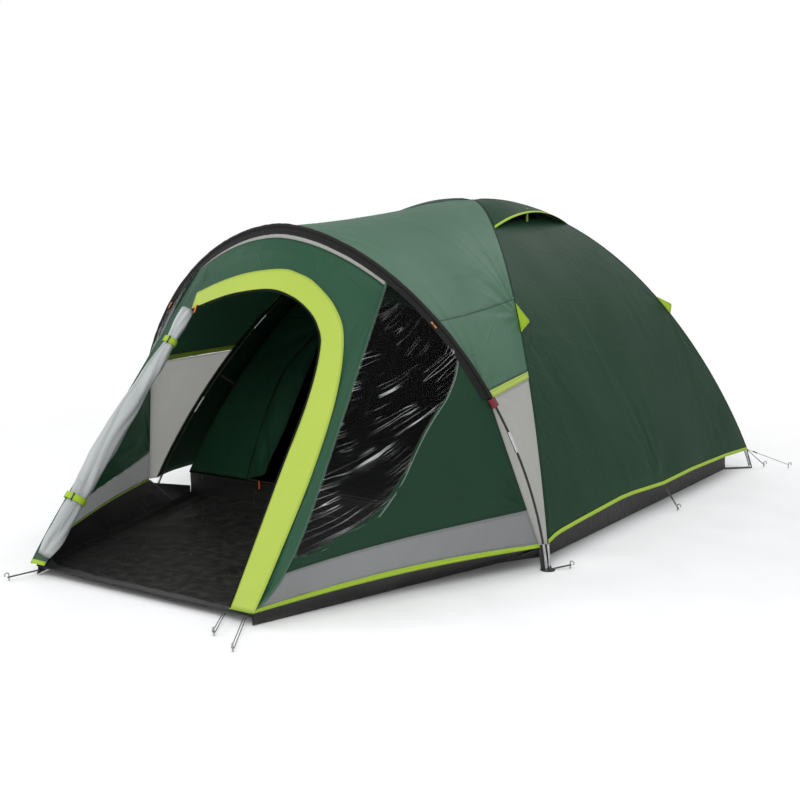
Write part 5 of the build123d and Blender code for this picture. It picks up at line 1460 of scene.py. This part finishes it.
cordGrey = solidSurface("cordGrey", rgb(60, 62, 60), rgb(34, 35, 34), rough=0.6, ribs=300.0, bump=0.0003)
guyCords = {
    "front": [(0.721, 0.4155, 0.914), (0.726, 0.415, 0.889), (0.7295, 0.411, 0.865), (0.730, 0.408, 0.841),
              (0.727, 0.407, 0.817)],
    "rear": [(1.0369, 2.2854, 0.0992), (1.129, 2.34185, 0.05965), (1.221, 2.3983, 0.020)],
    "diameter": 0.0025, "frontLength": 0.0984, "rearLength": 0.230,
}


def buildCords(side, label):
    low = label.lower()
    front = flip(np.array(guyCords["front"]), side)
    piece = strand(f"guyCordFront{label}", front, guyCords["diameter"], cordGrey)
    dress(piece, "guy_line", f"guy_cord_front_{low}")
    tuple(front[0])
    rear = flip(np.array(guyCords["rear"]), side)
    piece = strand(f"guyLineRear{label}", rear, guyCords["diameter"], cordGrey)
    dress(piece, "guy_line", f"guy_line_rear_{low}")
    tuple(rear[0])


bothSides(buildCords)

poleBlack = solidSurface("poleBlack", rgb(20, 20, 21), rgb(44, 44, 45), rough=0.32, grain=90, bump=0.0001)
chrome = solidSurface("chrome", rgb(222, 222, 224), rgb(150, 150, 152), rough=0.18, metal=1.0, bump=0.00005)
silver = solidSurface("silver", rgb(190, 190, 192), rgb(110, 110, 112), rough=0.3, metal=1.0)
orange = solidSurface("orange", rgb(226, 96, 22), rgb(180, 66, 14), rough=0.4, grain=120, bump=0.0001)
webbing = solidSurface("webbing", rgb(24, 24, 24), rgb(58, 58, 56), rough=0.7, ribs=120.0, bump=0.0006)
limeWeb = solidSurface("limeWeb", rgb(172, 204, 50), rgb(130, 160, 36), rough=0.65, ribs=120.0, bump=0.0005)
redBand = solidSurface("redBand", rgb(150, 24, 44), rgb(98, 12, 26), rough=0.6, ribs=120.0, bump=0.0006)
steel = solidSurface("steel", rgb(176, 178, 180), rgb(104, 104, 100), rough=0.35, metal=1.0)
darkZip = solidSurface("darkZip", rgb(28, 28, 28), rgb(60, 60, 60), rough=0.45, ribs=400.0, bump=0.0008)

finishes = {
    "main_pole_upper": poleBlack, "main_pole_lower": poleBlack, "porch_arch_pole": poleBlack,
    "pole_ferrules": chrome, "pole_tips": silver, "shock_cords": elastic, "corner_eyelets": steel,
    "corner_straps": webbing, "corner_webbing": webbing, "hem_straps": webbing, "inner_straps": webbing,
    "inner_clips": plastic, "pegs": steel, "peg_loops": webbing, "inner_zip": darkZip,
    "inner_zip_slider": plastic, "inner_zip_pull": orange, "door_zip_slider": plastic,
    "door_zip_pull": orange,
    "vent_prop_right": limeWeb, "vent_prop_left": limeWeb, "line_tensioner_right": plastic,
    "line_tensioner_left": plastic, "sleeve_end_bands": redBand,
}
for name, material in finishes.items():
    mesh = nodes[name].data
    mesh.materials.clear()
    mesh.materials.append(material)

room = {
    "size": 8, "sky": 0.85,
    "key": ((3.0, -5.0, 5.2), (0.1, 0.3, 0.5), 3.2, 240),  # place, target, size and power
    "fill": ((-5.0, -3.2, 3.2), (0, 0.2, 0.5), 3.6, 110),
    "back": ((1.0, 6.0, 5.2), (0, 1.2, 0.8), 4.0, 90),
}


def addLight(name, place, target, size, power):
    data = bpy.data.lights.new(name, "AREA")
    data.shape = "RECTANGLE"
    data.size = size
    data.size_y = size
    data.energy = power
    light = bpy.data.objects.new(name, data)
    light.location = place
    light.rotation_euler = (Vector(target) - Vector(place)).to_track_quat("-Z", "Y").to_euler()
    bpy.context.scene.collection.objects.link(light)


def buildRoom():
    material, tree, out = startMaterial("floorPaper")
    place = put(tree, "TexCoord").outputs["Object"]
    grain = noise(tree, place, 3.0, 4.0)
    tone = mixColour(tree, ramp(tree, grain, 0.3, 0.7), rgb(244, 244, 244), rgb(238, 238, 238))
    paper = put(tree, "BsdfPrincipled", {"Base Color": tone, "Roughness": 0.9, "Specular IOR Level": 0.1})
    far = put(tree, "VectorMath", {0: place}, operation="LENGTH").outputs["Value"]
    clear = put(tree, "BsdfTransparent")
    mixed = put(tree, "MixShader", {0: ramp(tree, far, 1.6, 3.6), 1: paper.outputs[0], 2: clear.outputs[0]})
    tree.links.new(mixed.outputs[0], out.inputs["Surface"])
    bpy.ops.mesh.primitive_plane_add(size=room["size"], location=(0, 0.5, -0.001))
    floor = bpy.context.object
    floor.name = "floor"
    floor.data.materials.append(material)
    for name in ("key", "fill", "back"):
        addLight(name, *room[name])
    world = bpy.data.worlds.new("world")
    bpy.context.scene.world = world
    world.use_nodes = True
    tree = world.node_tree
    tree.nodes.clear()
    path = put(tree, "LightPath")
    seen = calc(tree, "MAXIMUM", path.outputs["Is Camera Ray"], path.outputs["Is Transmission Ray"])
    soft = put(tree, "Background", {"Color": (0.92, 0.93, 0.95, 1), "Strength": room["sky"]})
    plain = put(tree, "Background", {"Color": (1, 1, 1, 1), "Strength": 1.0})
    mixed = put(tree, "MixShader", {0: seen, 1: soft.outputs[0], 2: plain.outputs[0]})
    put(tree, "OutputWorld", {"Surface": mixed.outputs[0]})


buildRoom()
bpy.context.scene.view_settings.view_transform = "Standard"
print("room done")
